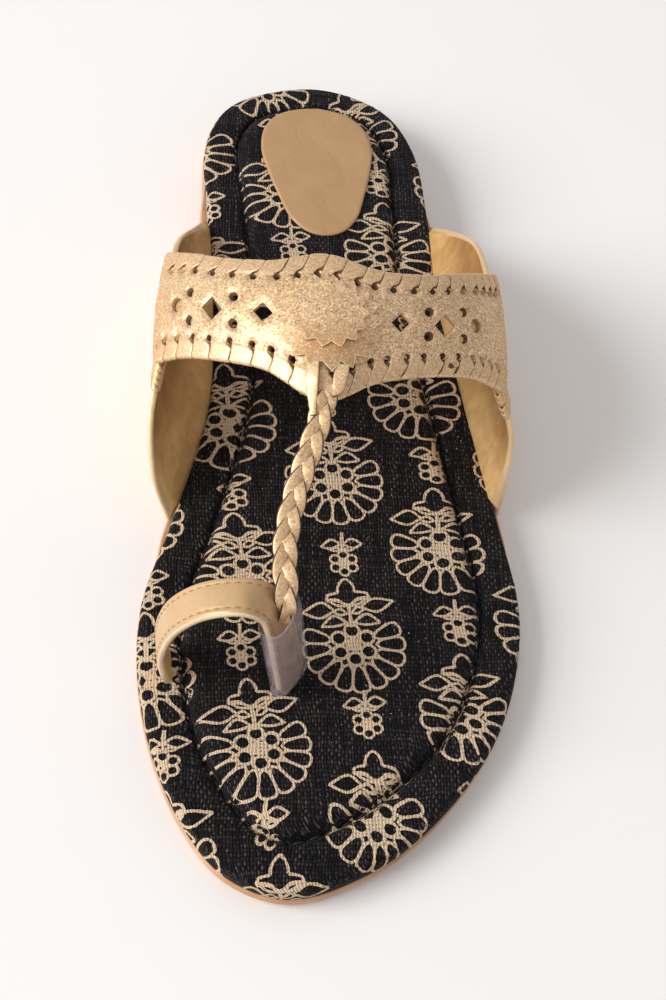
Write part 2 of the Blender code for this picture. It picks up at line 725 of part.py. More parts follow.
def make_post_sleeve():
    """A clear sleeve round the upright part of the loop's strap, open at both ends."""
    path, widths = loop_path(160)
    up = path[:, 2] - FOREFOOT_TOP
    upright = (up > SLEEVE_FOOT) & (up < SLEEVE_HEAD) & (np.arange(len(path)) < len(path) // 2)
    path, widths = path[upright][::5], widths[upright][::5]
    across, through = frames(path, widths)
    mouth = np.linspace(0.0, 1.0, len(path)) ** 2
    turn = np.linspace(0.0, 2 * math.pi, 20, endpoint=False)
    rings = []
    for wall in (0.0, SLEEVE_WALL):
        shell = []
        for point, side, deep, open_up in zip(path, across, through, mouth):
            depth = SLEEVE_DEPTH + (SLEEVE_MOUTH_DEPTH - SLEEVE_DEPTH) * open_up
            x = (SLEEVE_WIDTH / 2 - wall) * np.sign(np.cos(turn)) * np.abs(np.cos(turn)) ** 0.8
            z = (depth / 2 - wall) * np.sign(np.sin(turn)) * np.abs(np.sin(turn)) ** 0.6
            z += (depth - SLEEVE_DEPTH) / 2 * MOUTH_SIDE
            shell.append(point + side * x[:, None] + deep * z[:, None])
        rings += shell if wall == 0.0 else shell[::-1]
    rings = np.array(rings)
    faces = tube_faces(len(rings), rings.shape[1], closed_on_itself=True)
    return mesh_object("post_sleeve", rings.reshape(-1, 3), faces, "clear_lilac_vinyl")


# ---------------------------------------------------------------- scene


def clear_scene():
    for found in list(bpy.data.objects):
        bpy.data.objects.remove(found, do_unlink=True)
    for name in (COLLECTION, "cutters"):
        if name not in bpy.data.collections:
            bpy.context.scene.collection.children.link(bpy.data.collections.new(name))


def main():
    clear_scene()
    loop = outline()
    make_outsole(loop)
    make_heel_lift(loop)
    make_footbed(loop)
    make_heel_badge()
    make_upper(loop)
    make_rosettes()
    make_plait()
    make_toe_loop()
    make_post_sleeve()


main()
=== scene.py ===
"""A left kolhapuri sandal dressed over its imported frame.

Along is the distance in millimetres from the toe tip towards the heel, up is the height in
millimetres above the top of the forefoot's rim, and x runs from the medial to the lateral side.
"""

import math
import random

import bmesh
import bpy
import numpy as np
from mathutils import Matrix, Vector, noise
from mathutils.bvhtree import BVHTree
from mathutils.geometry import delaunay_2d_cdt


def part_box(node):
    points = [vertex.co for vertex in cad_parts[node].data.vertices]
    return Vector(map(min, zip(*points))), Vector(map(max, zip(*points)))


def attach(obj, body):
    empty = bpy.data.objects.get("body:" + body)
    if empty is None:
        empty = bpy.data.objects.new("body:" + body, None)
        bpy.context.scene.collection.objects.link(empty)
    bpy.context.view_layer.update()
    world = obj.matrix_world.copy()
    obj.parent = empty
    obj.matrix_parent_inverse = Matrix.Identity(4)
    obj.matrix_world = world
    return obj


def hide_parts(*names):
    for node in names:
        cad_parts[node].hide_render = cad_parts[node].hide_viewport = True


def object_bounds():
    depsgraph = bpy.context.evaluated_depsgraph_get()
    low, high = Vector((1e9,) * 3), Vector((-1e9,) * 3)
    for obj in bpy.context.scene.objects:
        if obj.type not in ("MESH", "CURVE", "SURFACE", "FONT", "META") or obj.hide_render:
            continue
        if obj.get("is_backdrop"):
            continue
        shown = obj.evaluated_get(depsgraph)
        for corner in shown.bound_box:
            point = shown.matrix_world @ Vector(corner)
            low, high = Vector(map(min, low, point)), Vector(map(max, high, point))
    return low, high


bl_info = {
    "name": "Kolhapuri Sandal",
    "version": (1, 0, 0),
    "blender": (4, 5, 0),
    "location": "3D View > Sidebar > Sandal",
    "description": "Dresses a left kolhapuri sandal: printed footbed, laced gold band, plait and toe loop",
    "category": "Object",
}

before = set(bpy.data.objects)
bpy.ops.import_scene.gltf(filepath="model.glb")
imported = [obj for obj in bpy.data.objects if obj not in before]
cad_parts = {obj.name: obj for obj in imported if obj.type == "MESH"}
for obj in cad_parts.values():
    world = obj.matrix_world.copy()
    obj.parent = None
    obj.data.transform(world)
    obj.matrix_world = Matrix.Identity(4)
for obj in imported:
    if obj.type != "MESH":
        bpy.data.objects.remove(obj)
CAD_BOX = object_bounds()
BODY = "root"
MM = 0.001

# ---------------------------------------------------------------- sizes of the sandal, in millimetres

FOOTBED_LOW, FOOTBED_HIGH = (np.array(corner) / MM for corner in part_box("footbed"))
SOLE_LENGTH = FOOTBED_HIGH[1] - FOOTBED_LOW[1]
TOE_Y = FOOTBED_LOW[1]
GAP = 0.3
OUTSOLE_THICKNESS = FOOTBED_LOW[2] - GAP
FOOTBED_THICKNESS = 5.0
FOREFOOT_TOP = FOOTBED_LOW[2] + FOOTBED_THICKNESS
PAD_HEIGHT = 2.0

HEEL_RAISE = 7.0
ARCH_START, ARCH_END = 103.0, 193.0
TOE_SPRING, TOE_SPRING_START = 1.0, 36.0

TOE_TIP_X, HEEL_TIP_X = -13.7, 3.7
OUTLINE = (
    # along, medial half-width, lateral half-width
    (5.5, 27.7, 3.9),
    (18.5, 37.4, 21.3),
    (43.0, 45.8, 39.3),
    (73.0, 47.3, 47.3),
    (103.0, 38.7, 44.7),
    (138.0, 29.4, 39.5),
    (173.0, 28.3, 33.8),
    (203.0, 29.5, 33.2),
    (230.0, 29.2, 30.8),
    (245.0, 21.0, 22.8),
)

EDGE_ROLL = 2.2
GROOVE_INSET = 10.5
GROOVE_AT_TOE, GROOVE_AT_HEEL = 0.2, 0.13  # share of its inset added at the toe, and taken off round the heel
GROOVE_TOE_END, GROOVE_HEEL_START, GROOVE_BLEND = 40.0, 190.0, 40.0
GROOVE_THREAD_HEIGHT, GROOVE_STITCH_LENGTH, GROOVE_THREAD = 3.35, 3.0, 0.33
FOOTBED_SECTION = (
    # inset, share of the groove's inset added to it, height above the footbed's underside
    (1.2, 0.0, 0.0),
    (0.2, 0.0, 0.7),
    (0.0, 0.0, 2.0),
    (0.1, 0.0, 3.4),
    (0.7, 0.0, 4.5),
    (EDGE_ROLL, 0.0, 5.0),
    (0.0, 0.55, 5.15),
    (0.0, 0.84, 5.0),
    (0.0, 0.93, 4.5),
    (0.0, 0.985, 3.3),
    (0.0, 1.015, 3.3),
    (0.0, 1.06, 4.9),
    (0.0, 1.14, 6.0),
    (0.0, 1.27, 6.75),
    (0.0, 1.42, 7.0),
)
OUTSOLE_SECTION = (
    # inset, height
    (0.9, 0.0),
    (0.1, 0.8),
    (0.0, 2.1),
    (0.4, 2.6),
)
LIFT_SECTION = (
    # inset, share of the lift's height: three layers of leather
    (1.4, 0.0),
    (0.7, 0.08),
    (0.4, 0.28),
    (0.75, 0.33),
    (0.35, 0.38),
    (0.3, 0.62),
    (0.65, 0.67),
    (0.25, 0.72),
    (0.2, 0.94),
    (0.5, 1.0),
)
LIFT_START, LIFT_TREAD_START, LIFT_FEATHER = 148.0, 170.0, 0.9
HEEL_LIP, FOREFOOT_TUCK = 0.2, 0.1

WALL = 1.5
BAND_THICKNESS = 1.6
WING_START = {"medial": 103.0, "lateral": 107.0}
WING_END = {"medial": 201.0, "lateral": 203.0}
LIP_START, LIP_END, LIP_BLEND = 84.5, 201.0, 16.0  # where the outsole widens below the wings
WING_EDGES = {
    # front and rear edge of each half-moon between its base and the band: x, along, up
    "medial": (((-45.1, 106.5, 8.5), (-46.6, 115.0, 20.5)), ((-34.2, 188.5, 13.0), (-39.4, 173.5, 24.0))),
    "lateral": (((46.1, 109.0, 8.5), (45.7, 114.0, 21.0)), ((38.0, 189.5, 15.0), (40.6, 171.5, 29.5))),
}
BAND_SECTIONS = (
    # outer face's front edge x, along, up; its rear edge x, along, up; how proud its middle stands
    (-45.4, 127.0, 30.8, -42.5, 159.5, 33.0, 1.0),
    (-39.5, 124.3, 36.5, -37.7, 153.6, 39.6, 1.5),
    (-31.0, 118.1, 43.8, -30.0, 144.8, 48.0, 2.0),
    (-20.0, 111.0, 49.6, -19.0, 137.5, 55.7, 2.5),
    (-7.1, 100.6, 52.2, -5.5, 137.5, 58.8, 3.0),
    (6.0, 107.2, 51.0, 8.0, 133.4, 58.0, 2.5),
    (19.7, 112.6, 47.3, 21.0, 136.5, 54.0, 2.0),
    (32.6, 117.8, 40.5, 32.5, 143.5, 47.5, 1.5),
    (41.8, 119.8, 33.0, 41.2, 150.6, 40.0, 1.0),
)
TURNED_EDGE = 1.5
LINING_SWELL, LINING_SWELL_END = 1.7, 13.0  # how far the lining swells inwards, and how far above the footbed
LINING_PALE_END, LINING_BROWN_START = 13.0, 31.0  # above the floor: the lining gets browner between them
BAND_OVERLAP = 1 / 7  # share of the band's length that laps over each wing
PUNCHES = {"hole": 1.5, "big hole": 2.2, "diamond": 2.8, "big diamond": 3.6, "lace hole": 1.0}
HOLE_TAPER = 0.62  # a small hole's width below, as a share of its width on top
PUNCHED_HOLES = (
    # place along the band from medial 0 to lateral 1, place across it from front 0 to rear 1, kind
    (0.076, 0.47, "big hole"),
    (0.123, 0.60, "hole"),
    (0.123, 0.32, "hole"),
    (0.201, 0.46, "big diamond"),
    (0.266, 0.60, "hole"),
    (0.266, 0.33, "hole"),
    (0.344, 0.48, "diamond"),
    (0.652, 0.50, "diamond"),
    (0.726, 0.61, "hole"),
    (0.726, 0.36, "hole"),
    (0.774, 0.47, "big diamond"),
    (0.835, 0.61, "hole"),
    (0.835, 0.34, "hole"),
    (0.879, 0.48, "big hole"),
)
LACE_HOLES = {
    # along the band, for the front and the rear edge
    "front": (0.036, 0.080, 0.134, 0.192, 0.254, 0.317, 0.366, 0.415, 0.460, 0.500, 0.540, 0.585,
              0.625, 0.674, 0.719, 0.772, 0.821, 0.871, 0.902, 0.935, 0.965),
    "rear": (0.035, 0.080, 0.129, 0.192, 0.254, 0.312, 0.371, 0.420, 0.464, 0.504, 0.549, 0.589,
             0.634, 0.688, 0.741, 0.790, 0.844, 0.893, 0.925, 0.955, 0.982),
}
LACE_HOLE_INSET = 5.0
BAND_MESH = 0.9  # spacing of the band's points between its holes

LACE_REAR_LEAN = 3.6  # how much further a lace leans at the rear edge than at the front
LACE_TAIL = 4.2  # how far a lace runs back under the band
WRAP_STOPS, WRAP_WIDTH = (0.9, 2.5, 4.1, 5.7), 1.5  # turns round the wings' front edge below the band

ROSETTE_PLACE = (0.487, 0.484)
ROSETTE_LAYERS = (
    # name, radius, teeth, their depth, lift off the band, thickness, how far its centre lies towards the rear
    ("rosette_lower", 13.0, 17, 2.3, 0.15, 0.6, 0.0),
    ("rosette_upper", 9.3, 15, 1.6, 0.8, 0.7, 1.8),
)

PLAIT_PATH = (
    (-6.3, 102.6, 53.4),
    (-6.9, 99.6, 51.9),
    (-7.9, 96.0, 50.2),
    (-9.0, 92.2, 48.8),
    (-10.9, 86.4, 47.2),
    (-13.1, 80.0, 45.4),
    (-15.0, 73.0, 43.6),
    (-16.3, 65.6, 42.2),
    (-16.6, 59.4, 41.4),
    (-16.4, 55.2, 39.9),
    (-16.0, 52.2, 37.2),
    (-15.7, 51.3, 32.5),
)
LOBE_PITCH = 6.6
STRAND_THICKNESS, STRAND_FLATNESS = 1.35, 0.5
THONG_WIDTH, THONG_THICKNESS, THONG_TILT = 3.3, 0.9, 0.35
THONGS = (
    # medial, then lateral: its place along the band at the rosette and at the band's edge,
    # how far down the plait it ends, its place across the plait there, its width at the end
    (-2.9, -2.8, 8.0, -1.7, 1.5),
    (3.5, 2.2, 2.0, 0.8, 2.6),
)

LOOP_WIDTH, LOOP_THICKNESS = 9.6, 2.2
LOOP_PATH = (
    # x, along, up, turn of the strap's width from the heel's side towards lateral, in degrees
    (-11.7, 52.4, -1.6, 35.0),
    (-12.2, 52.4, 6.0, 35.0),
    (-14.9, 52.2, 20.0, 35.0),
    (-17.7, 52.4, 32.0, 32.0),
    (-20.8, 52.2, 38.2, 22.0),
    (-27.6, 52.0, 41.0, 8.0),
    (-35.0, 53.2, 36.6, 2.0),
    (-40.8, 54.8, 27.0, -2.0),
    (-42.9, 56.4, 14.0, -3.0),
    (-41.7, 57.6, 4.0, -3.0),
    (-40.2, 58.2, -1.8, -3.0),
)
POST_TIP_WIDTH = 6.0
SLEEVE_WIDTH, SLEEVE_DEPTH, SLEEVE_MOUTH_DEPTH, SLEEVE_WALL = 12.6, 5.2, 7.6, 0.5
SLEEVE_FOOT, SLEEVE_HEAD = 6.0, 34.5

BADGE_HEEL_END, BADGE_TOE_END, BADGE_WIDTH = (1.5, 240.6), (2.8, 190.6), 32.0
BADGE_OUTLINE = (
    # share of its length from the heel end, share of its half-width
    (0.0, 0.0),
    (0.05, 0.60),
    (0.16, 0.90),
    (0.33, 1.0),
    (0.50, 0.92),
    (0.70, 0.76),
    (0.87, 0.58),
    (0.97, 0.31),
    (1.0, 0.0),
)

# ---------------------------------------------------------------- the block print

PRINT_ORIGIN = (6.6, 16.4)  # x and along of the first flower
COLUMN_STEP, COLUMN_DROP = 25.2, 28.3
PRINT_REPEAT = 47.1
BLOCK_REACH = 22.0  # a block whose middle lies further than this off the footbed leaves nothing on it
SPRIG_SHIFT = 1.3  # how far to the side of the middle between two flowers a small sprig lies
PRINT_DRIFT = (-0.0234, -0.000197)  # the columns lean and bend towards the medial side
WARP_SHARE, WEFT_SHARE = 0.78, 1.1  # the weft lies more widely spaced than the warp
# Outlines of the two blocks, in millimetres from the middle of their flower, with the heel up
LEAVES = (
    # base, top of the upper curve, tip, lowest of the lower curve
    ((-0.7, 6.2), (-4.0, 8.3), (-7.3, 5.3), (-3.9, 5.4)),
    ((0.7, 6.3), (4.2, 8.6), (7.4, 6.1), (3.9, 5.6)),
    ((-0.6, 8.9), (-2.2, 10.3), (-4.0, 9.5), (-2.3, 8.5)),
    ((0.6, 9.0), (2.0, 10.7), (3.8, 10.2), (2.2, 8.9)),
    ((-3.6, 9.8), (-6.6, 12.2), (-11.7, 9.5), (-7.4, 7.8)),
    ((2.9, 10.6), (6.2, 12.9), (11.4, 12.2), (7.0, 9.2)),
    ((-0.3, 10.9), (-2.6, 12.9), (-5.0, 13.0), (-3.0, 11.4)),
    ((0.3, 10.9), (2.5, 13.1), (5.0, 13.4), (3.1, 11.8)),
)
BUD = (
    # left lobe, middle lobe, right lobe and the line below them
    ((-5.3, 12.6), (-4.9, 14.2), (-3.4, 14.7), (-2.2, 14.9)),
    ((-2.2, 14.9), (-2.1, 16.4), (-1.2, 18.1), (0.0, 18.9), (1.2, 18.0), (1.9, 16.4), (1.9, 15.2)),
    ((1.9, 15.2), (3.4, 15.0), (4.9, 14.6), (5.5, 13.1)),
    ((-5.3, 12.6), (-2.8, 12.6), (0.0, 11.4), (2.8, 12.9), (5.5, 13.1)),
)
DOTS, DOT_REACH, DOT_RADIUS = 6, 3.95, 1.82
PETAL = (
    # distance from the flower's middle, degrees off the petal's own line
    (5.6, 0.0), (6.6, -8.6), (8.8, -10.7), (11.0, -10.4), (12.2, -7.4), (12.6, 0.0),
    (12.2, 7.4), (11.0, 10.4), (8.8, 10.7), (6.6, 8.6), (5.6, 0.0),
)
PETALS, FIRST_PETAL, PETAL_STEP = 11, 21.0, 21.6
PETAL_STRETCH = 0.6  # how much longer the petal furthest from the spray is, in millimetres
SPRIG_LEAVES = (
    ((-0.3, 5.7), (-2.6, 7.1), (-5.4, 4.9), (-2.8, 4.4)),
    ((0.3, 5.7), (2.5, 7.3), (5.2, 5.8), (2.8, 4.5)),
    ((-0.4, 4.2), (-1.7, 4.6), (-2.9, 4.0), (-1.6, 3.6)),
    ((0.4, 4.2), (1.7, 4.7), (2.9, 4.1), (1.6, 3.7)),
)
SPRIG_REACH, SPRIG_RING = 2.45, 1.25
GROOVE_TUCK, TUCK_SPREAD = 2.4, 5.0  # cloth drawn into the groove from each side, and how far off it shows
PRINT_SETTING = {
    # column, row, 1 for a sprig: how far the block was turned, in degrees, and its share of its full size
    (-1, 1, 0): (5.5, 0.98),
    (0, 0, 0): (-2.5, 0.93),
    (1, 0, 0): (0.0, 0.9),
}
PRINT_NUDGES = {
    # column, row, 1 for a sprig: how far the block was set off its place, x and along
    (0, 2, 0): (0.3, 1.4),
    (0, 0, 0): (1.0, 0.8),
    (-1, 0, 0): (2.7, 1.1),
    (-2, 1, 0): (2.0, 0.0),
    (2, 0, 0): (-0.3, -2.0),
    (2, 1, 0): (1.0, 0.0),
    (0, 4, 0): (-0.3, 1.7),
    (1, 4, 0): (-1.5, 0.0),
    (-1, 5, 0): (-1.5, 0.0),
    (-1, 4, 0): (-1.0, -1.3),
    (-2, 3, 0): (-1.2, 0.0),
    (0, 1, 1): (-1.2, 0.0),
    (0, 0, 1): (-0.3, 1.9),
    (1, 0, 1): (-0.4, -0.3),
    (-1, 1, 1): (-3.7, 1.0),
    (-1, 0, 1): (-0.6, 1.5),
    (1, 1, 1): (0.0, 0.8),
    (-1, 2, 1): (-1.6, 0.0),
    (-2, 1, 1): (1.6, 1.0),
    (0, 3, 1): (-3.4, 3.0),
    (1, 3, 1): (-1.0, 1.5),
    (0, 2, 1): (-1.5, 0.0),
}


# ---------------------------------------------------------------- curves and surfaces


def place(points):
    """Points given as x, along and up, in the frame's own millimetres."""
    x, along, up = np.moveaxis(np.asarray(points, float), -1, 0)
    return np.stack([x, along + TOE_Y, up + FOREFOOT_TOP], axis=-1)


def smooth_step(share):
    share = np.clip(share, 0.0, 1.0)
    return share * share * (3.0 - 2.0 * share)


def rise(along):
    """How far the sole's underside stands off the floor, at the shank, heel and toe."""
    heel = HEEL_RAISE * smooth_step((along - ARCH_START) / (ARCH_END - ARCH_START))
    toe = TOE_SPRING * np.clip(1.0 - along / TOE_SPRING_START, 0.0, 1.0) ** 2
    return heel + toe


def smooth_curve(points, per_span, closed=False):
    """Points on a centripetal Catmull-Rom curve through the given points."""
    points = np.asarray(points, float)
    if closed:
        padded = np.vstack([points[-1], points, points[:2]])
    else:
        padded = np.vstack([2 * points[0] - points[1], points, 2 * points[-1] - points[-2]])
    spans = []
    for a, b, c, d in zip(padded, padded[1:], padded[2:], padded[3:]):
        ab, bc, cd = (math.sqrt(np.linalg.norm(q - p)) for p, q in ((a, b), (b, c), (c, d)))
        leave = (b - a) / ab - (c - a) / (ab + bc) + (c - b) / bc
        arrive = (c - b) / bc - (d - b) / (bc + cd) + (d - c) / cd
        t = np.linspace(0.0, 1.0, per_span, endpoint=False)[:, None]
        cubic = 2 * (b - c) + bc * (leave + arrive)
        square = -3 * (b - c) - bc * (2 * leave + arrive)
        spans.append(((cubic * t + square) * t + bc * leave) * t + b)
    return np.vstack(spans + [padded[-2][None, :]])


def lengths_of(curve):
    """Distance travelled along a curve at each of its points."""
    return np.r_[0.0, np.cumsum(np.linalg.norm(np.diff(curve, axis=0), axis=1))]


def resample(curve, shares):
    """Points of a curve at shares of its length; a whole number asks for that many, evenly spaced."""
    if isinstance(shares, int):
        shares = np.linspace(0.0, 1.0, shares)
    lengths = lengths_of(curve)
    return np.stack([np.interp(shares * lengths[-1], lengths, column) for column in curve.T], axis=-1)


def unit(vectors):
    return vectors / np.linalg.norm(vectors, axis=-1, keepdims=True)


def ripple(points, feature, seed=0.0):
    """Smooth noise between -1 and 1 at each point, with bumps about that many millimetres apart."""
    shift = Vector((seed, -seed, 2.3 * seed))
    return np.array([noise.noise(Vector(point) / feature + shift) for point in points])


def sole_outline(stations=150):
    """The footbed's outline from the toe down the medial side to the heel and back: (x, along) rows."""
    toe, heel = (TOE_TIP_X, 0.0), (HEEL_TIP_X, SOLE_LENGTH)
    medial = [(-width, along) for along, width, _ in OUTLINE]
    lateral = [(width, along) for along, _, width in reversed(OUTLINE)]
    per_span = 24
    dense = smooth_curve([toe, *medial, heel, *lateral], per_span, closed=True)
    at_heel = per_span * (len(medial) + 1)
    wanted = SOLE_LENGTH * (1.0 - np.cos(np.linspace(0.0, math.pi, stations + 1))) / 2
    sides = []
    for side in (dense[: at_heel + 1], dense[at_heel:][::-1]):
        along = np.maximum.accumulate(side[:, 1])
        sides.append(np.stack([np.interp(wanted, along, side[:, 0]), wanted], axis=-1))
    return np.vstack([sides[0], sides[1][::-1][1:]])


def inset_outline(loop, inset):
    """The outline moved inwards by a distance, which may differ from point to point."""
    ring = loop[:-1]
    tangent = unit(np.roll(ring, -1, axis=0) - np.roll(ring, 1, axis=0))
    inward = np.stack([tangent[:, 1], -tangent[:, 0]], axis=-1)
    moved = ring + inward * np.broadcast_to(inset, len(loop))[:-1, None]
    return np.vstack([moved, moved[:1]])


def on_sole(loop, height):
    """A ring at a height above the sole's underside, which follows the arch."""
    return np.column_stack([loop[:, 0], loop[:, 1] + TOE_Y, rise(loop[:, 1]) + height])


def outsole_outline(loop):
    """The outsole's edge: flush at the forefoot, wide below the wings."""
    along = loop[:, 1]
    start = smooth_step((along - LIP_START) / LIP_BLEND)
    end = smooth_step((along - LIP_END) / LIP_BLEND)
    below_wings = WALL + GAP
    lip = (below_wings + FOREFOOT_TUCK) * start - FOREFOOT_TUCK - (below_wings - HEEL_LIP) * end
    return inset_outline(loop, -lip)


def groove_inset(along):
    """The groove keeps further from the edge at the toe and nearer to it round the heel."""
    toe = smooth_step(1.0 - along / GROOVE_TOE_END)
    heel = smooth_step((along - GROOVE_HEEL_START) / GROOVE_BLEND)
    return GROOVE_INSET * (1.0 + GROOVE_AT_TOE * toe - GROOVE_AT_HEEL * heel)


# Shares across the band and the wings, packed closely at both edges so that those can be rounded
ACROSS = (1.0 - np.cos(np.linspace(0.0, math.pi, 65))) / 2
BAND_ROWS, WING_ROWS = 221, 56


def band_grid():
    """Points of the band's underside, from its medial to its lateral end and from front to rear."""
    sections = smooth_curve(BAND_SECTIONS, 24)
    middle = place((sections[:, :3] + sections[:, 3:6]) / 2)
    lengths = lengths_of(middle)
    wanted = np.linspace(0.0, lengths[-1], BAND_ROWS)
    sections = np.stack([np.interp(wanted, lengths, column) for column in sections.T], axis=-1)
    front, rear = place(sections[:, :3]), place(sections[:, 3:6])
    across = rear - front
    up = unit(np.cross(np.gradient((front + rear) / 2, axis=0), across))
    share = ACROSS[None, :, None]
    crown = 4.0 * share * (1.0 - share) * sections[:, 6][:, None, None]
    return front[:, None] + across[:, None] * share + up[:, None] * (crown - BAND_THICKNESS)


def wing_grid(loop, side, top):
    """A half-moon from its base beside the footbed up to the band's end: a patch between four edges."""
    edge = inset_outline(loop, -WALL - GAP)
    middle = len(loop) // 2
    half = edge[: middle + 1] if side == "medial" else edge[middle:][::-1]
    stations = WING_START[side] + (WING_END[side] - WING_START[side]) * ACROSS
    x = np.interp(stations, half[:, 1], half[:, 0])
    foot = rise(stations) + OUTSOLE_THICKNESS + GAP
    base = np.column_stack([x, stations + TOE_Y, foot])
    front, rear = (
        resample(smooth_curve(np.vstack([base[end], place(points), top[end]]), 20), WING_ROWS)
        for end, points in zip((0, -1), WING_EDGES[side])
    )
    u = np.linspace(0.0, 1.0, WING_ROWS)[:, None, None]
    t = ACROSS[None, :, None]
    lengthwise = (1 - u) * base[None] + u * top[None]
    upward = (1 - t) * front[:, None] + t * rear[:, None]
    corners = (1 - u) * ((1 - t) * base[0] + t * base[-1]) + u * ((1 - t) * top[0] + t * top[-1])
    return lengthwise + upward - corners


def upper_grid(loop):
    """The face where band and wings meet, and its normals: medial wing, band, lateral wing."""
    band = band_grid()
    medial = wing_grid(loop, "medial", band[0])
    lateral = wing_grid(loop, "lateral", band[-1])
    grid = np.concatenate([medial[:-1], band, lateral[::-1][1:]])
    along_rows, across = np.gradient(grid, axis=0), np.gradient(grid, axis=1)
    return grid, unit(np.cross(along_rows, across))


def evened(loop):
    """The outline with its stations evenly spaced down each side."""
    middle = len(loop) // 2
    return np.vstack([resample(loop[: middle + 1], middle + 1), resample(loop[middle:], middle + 1)[1:]])


SOLE = sole_outline()
EVEN_SOLE = evened(SOLE)
UPPER, UPPER_NORMALS = upper_grid(SOLE)
BAND_SLICE = slice(WING_ROWS - 1, WING_ROWS - 1 + BAND_ROWS)
BAND_NORMALS = UPPER_NORMALS[BAND_SLICE]
BAND_OUTER = UPPER[BAND_SLICE] + BAND_NORMALS * BAND_THICKNESS
BAND_LENGTH = lengths_of(BAND_OUTER[:, len(ACROSS) // 2])[-1]
BAND_WIDTHS = np.linalg.norm(np.diff(BAND_OUTER, axis=1), axis=2).sum(axis=1)
BAND_WIDTH = BAND_WIDTHS.mean()


def sample(grid, along_band, across_band):
    """The grid's value at places along and across the band, between its nearest points."""
    i = np.clip(np.asarray(along_band, float), 0.0, 1.0) * (BAND_ROWS - 1)
    j = np.interp(across_band, ACROSS, np.arange(len(ACROSS)))
    i0 = np.minimum(i.astype(int), BAND_ROWS - 2)
    j0 = np.minimum(j.astype(int), len(ACROSS) - 2)
    a, b = (i - i0)[..., None], (j - j0)[..., None]
    low = grid[i0, j0] * (1 - b) + grid[i0, j0 + 1] * b
    high = grid[i0 + 1, j0] * (1 - b) + grid[i0 + 1, j0 + 1] * b
    return low * (1 - a) + high * a


def band_point(along_band, across_band, lift=0.0):
    """A point over the band's outer face, and the normal there."""
    normal = unit(sample(BAND_NORMALS, along_band, across_band))
    return sample(BAND_OUTER, along_band, across_band) + normal * np.asarray(lift)[..., None], normal


def off_rosette(along_mm, rearward_mm, lift=0.0):
    """A point over the band's outer face, from distances off the rosette's middle."""
    along_band = ROSETTE_PLACE[0] + np.asarray(along_mm, float) / BAND_LENGTH
    widths = np.interp(along_band, np.linspace(0.0, 1.0, BAND_ROWS), BAND_WIDTHS)
    across_band = ROSETTE_PLACE[1] + np.asarray(rearward_mm, float) / widths
    return band_point(along_band, across_band, lift)


# ---------------------------------------------------------------- meshes


def tube_faces(rings, around, start=0):
    faces = []
    for low in range(start, start + (rings - 1) * around, around):
        for j in range(around):
            k = (j + 1) % around
            faces.append((low + j, low + k, low + around + k, low + around + j))
    return faces


def grid_faces(rows, columns, start=0):
    faces = []
    for low in range(start, start + (rows - 1) * columns, columns):
        for j in range(columns - 1):
            faces.append((low + j, low + j + 1, low + columns + j + 1, low + columns + j))
    return faces


def closed_tube(rings, start=0):
    """Faces of a tube through equal rings, with a face at each end."""
    count, around = len(rings), len(rings[0])
    faces = tube_faces(count, around, start)
    last = start + (count - 1) * around
    faces.append(tuple(range(start, start + around)))
    faces.append(tuple(range(last, last + around)))
    return faces


def many_tubes(tubes):
    """Points and faces of several tubes as one mesh."""
    points, faces, start = [], [], 0
    for rings in tubes:
        rings = np.asarray(rings)
        points.append(rings.reshape(-1, 3))
        faces += closed_tube(rings, start)
        start += len(points[-1])
    return np.vstack(points), faces


def piece(name, points, faces, finishes, slot, replaces=(), finish_of_face=None, sharp=40.0, merge=True):
    """A mesh object from points in millimetres that rides on the sandal."""
    mesh = bpy.data.meshes.new(name)
    mesh.from_pydata((np.asarray(points) * MM).tolist(), [], [tuple(map(int, face)) for face in faces])
    for finish in finishes:
        mesh.materials.append(finish)
    if finish_of_face is not None:
        mesh.polygons.foreach_set("material_index", np.asarray(finish_of_face, np.int32))
    work = bmesh.new()
    work.from_mesh(mesh)
    if merge:
        bmesh.ops.remove_doubles(work, verts=work.verts, dist=1e-3 * MM)
    bmesh.ops.recalc_face_normals(work, faces=work.faces)
    work.to_mesh(mesh)
    work.free()
    mesh.shade_smooth()
    mesh.set_sharp_from_angle(angle=math.radians(sharp))
    made = bpy.data.objects.new(name, mesh)
    bpy.context.scene.collection.objects.link(made)
    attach(made, BODY)
    if replaces:
        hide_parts(*replaces)
    return made


def ladder(rings, across=30, crown=0.0):
    """Points and faces of stacked rings, closed above and below by rungs from side to side."""
    rings = np.asarray(rings)
    count, size = rings.shape[:2]
    points, faces = [rings.reshape(-1, 3)], tube_faces(count, size)
    share = np.linspace(0.0, 1.0, across + 1)
    for ring, bulge in ((rings[0], 0.0), (rings[-1], crown)):
        left, right = ring[: size // 2 + 1], ring[::-1][: size // 2 + 1]
        rungs = left[:, None] * (1.0 - share[:, None]) + right[:, None] * share[:, None]
        width = np.linalg.norm(right - left, axis=1)
        rungs[..., 2] += bulge * (4 * share * (1 - share))[None] * smooth_step(width / 34.0)[:, None]
        faces += grid_faces(len(left), across + 1, sum(map(len, points)))
        points.append(rungs.reshape(-1, 3))
    return np.vstack(points), faces


def rounded_shell(grid, normals, outward, inward):
    """Outer and inner face of a sheet whose edges are rounded, and each point's distance to an edge."""
    rows = np.stack([lengths_of(column) for column in np.moveaxis(grid, 1, 0)], axis=1)
    columns = np.stack([lengths_of(row) for row in grid])
    from_edge = np.minimum.reduce([rows, rows[-1:] - rows, columns, columns[:, -1:] - columns])
    half = (outward - inward) / 2
    round_off = np.sqrt(1.0 - (1.0 - np.clip(from_edge / half, 0.0, 1.0)) ** 2)[..., None]
    middle = grid + normals * (outward + inward) / 2
    return middle + normals * half * round_off, middle - normals * half * round_off, from_edge


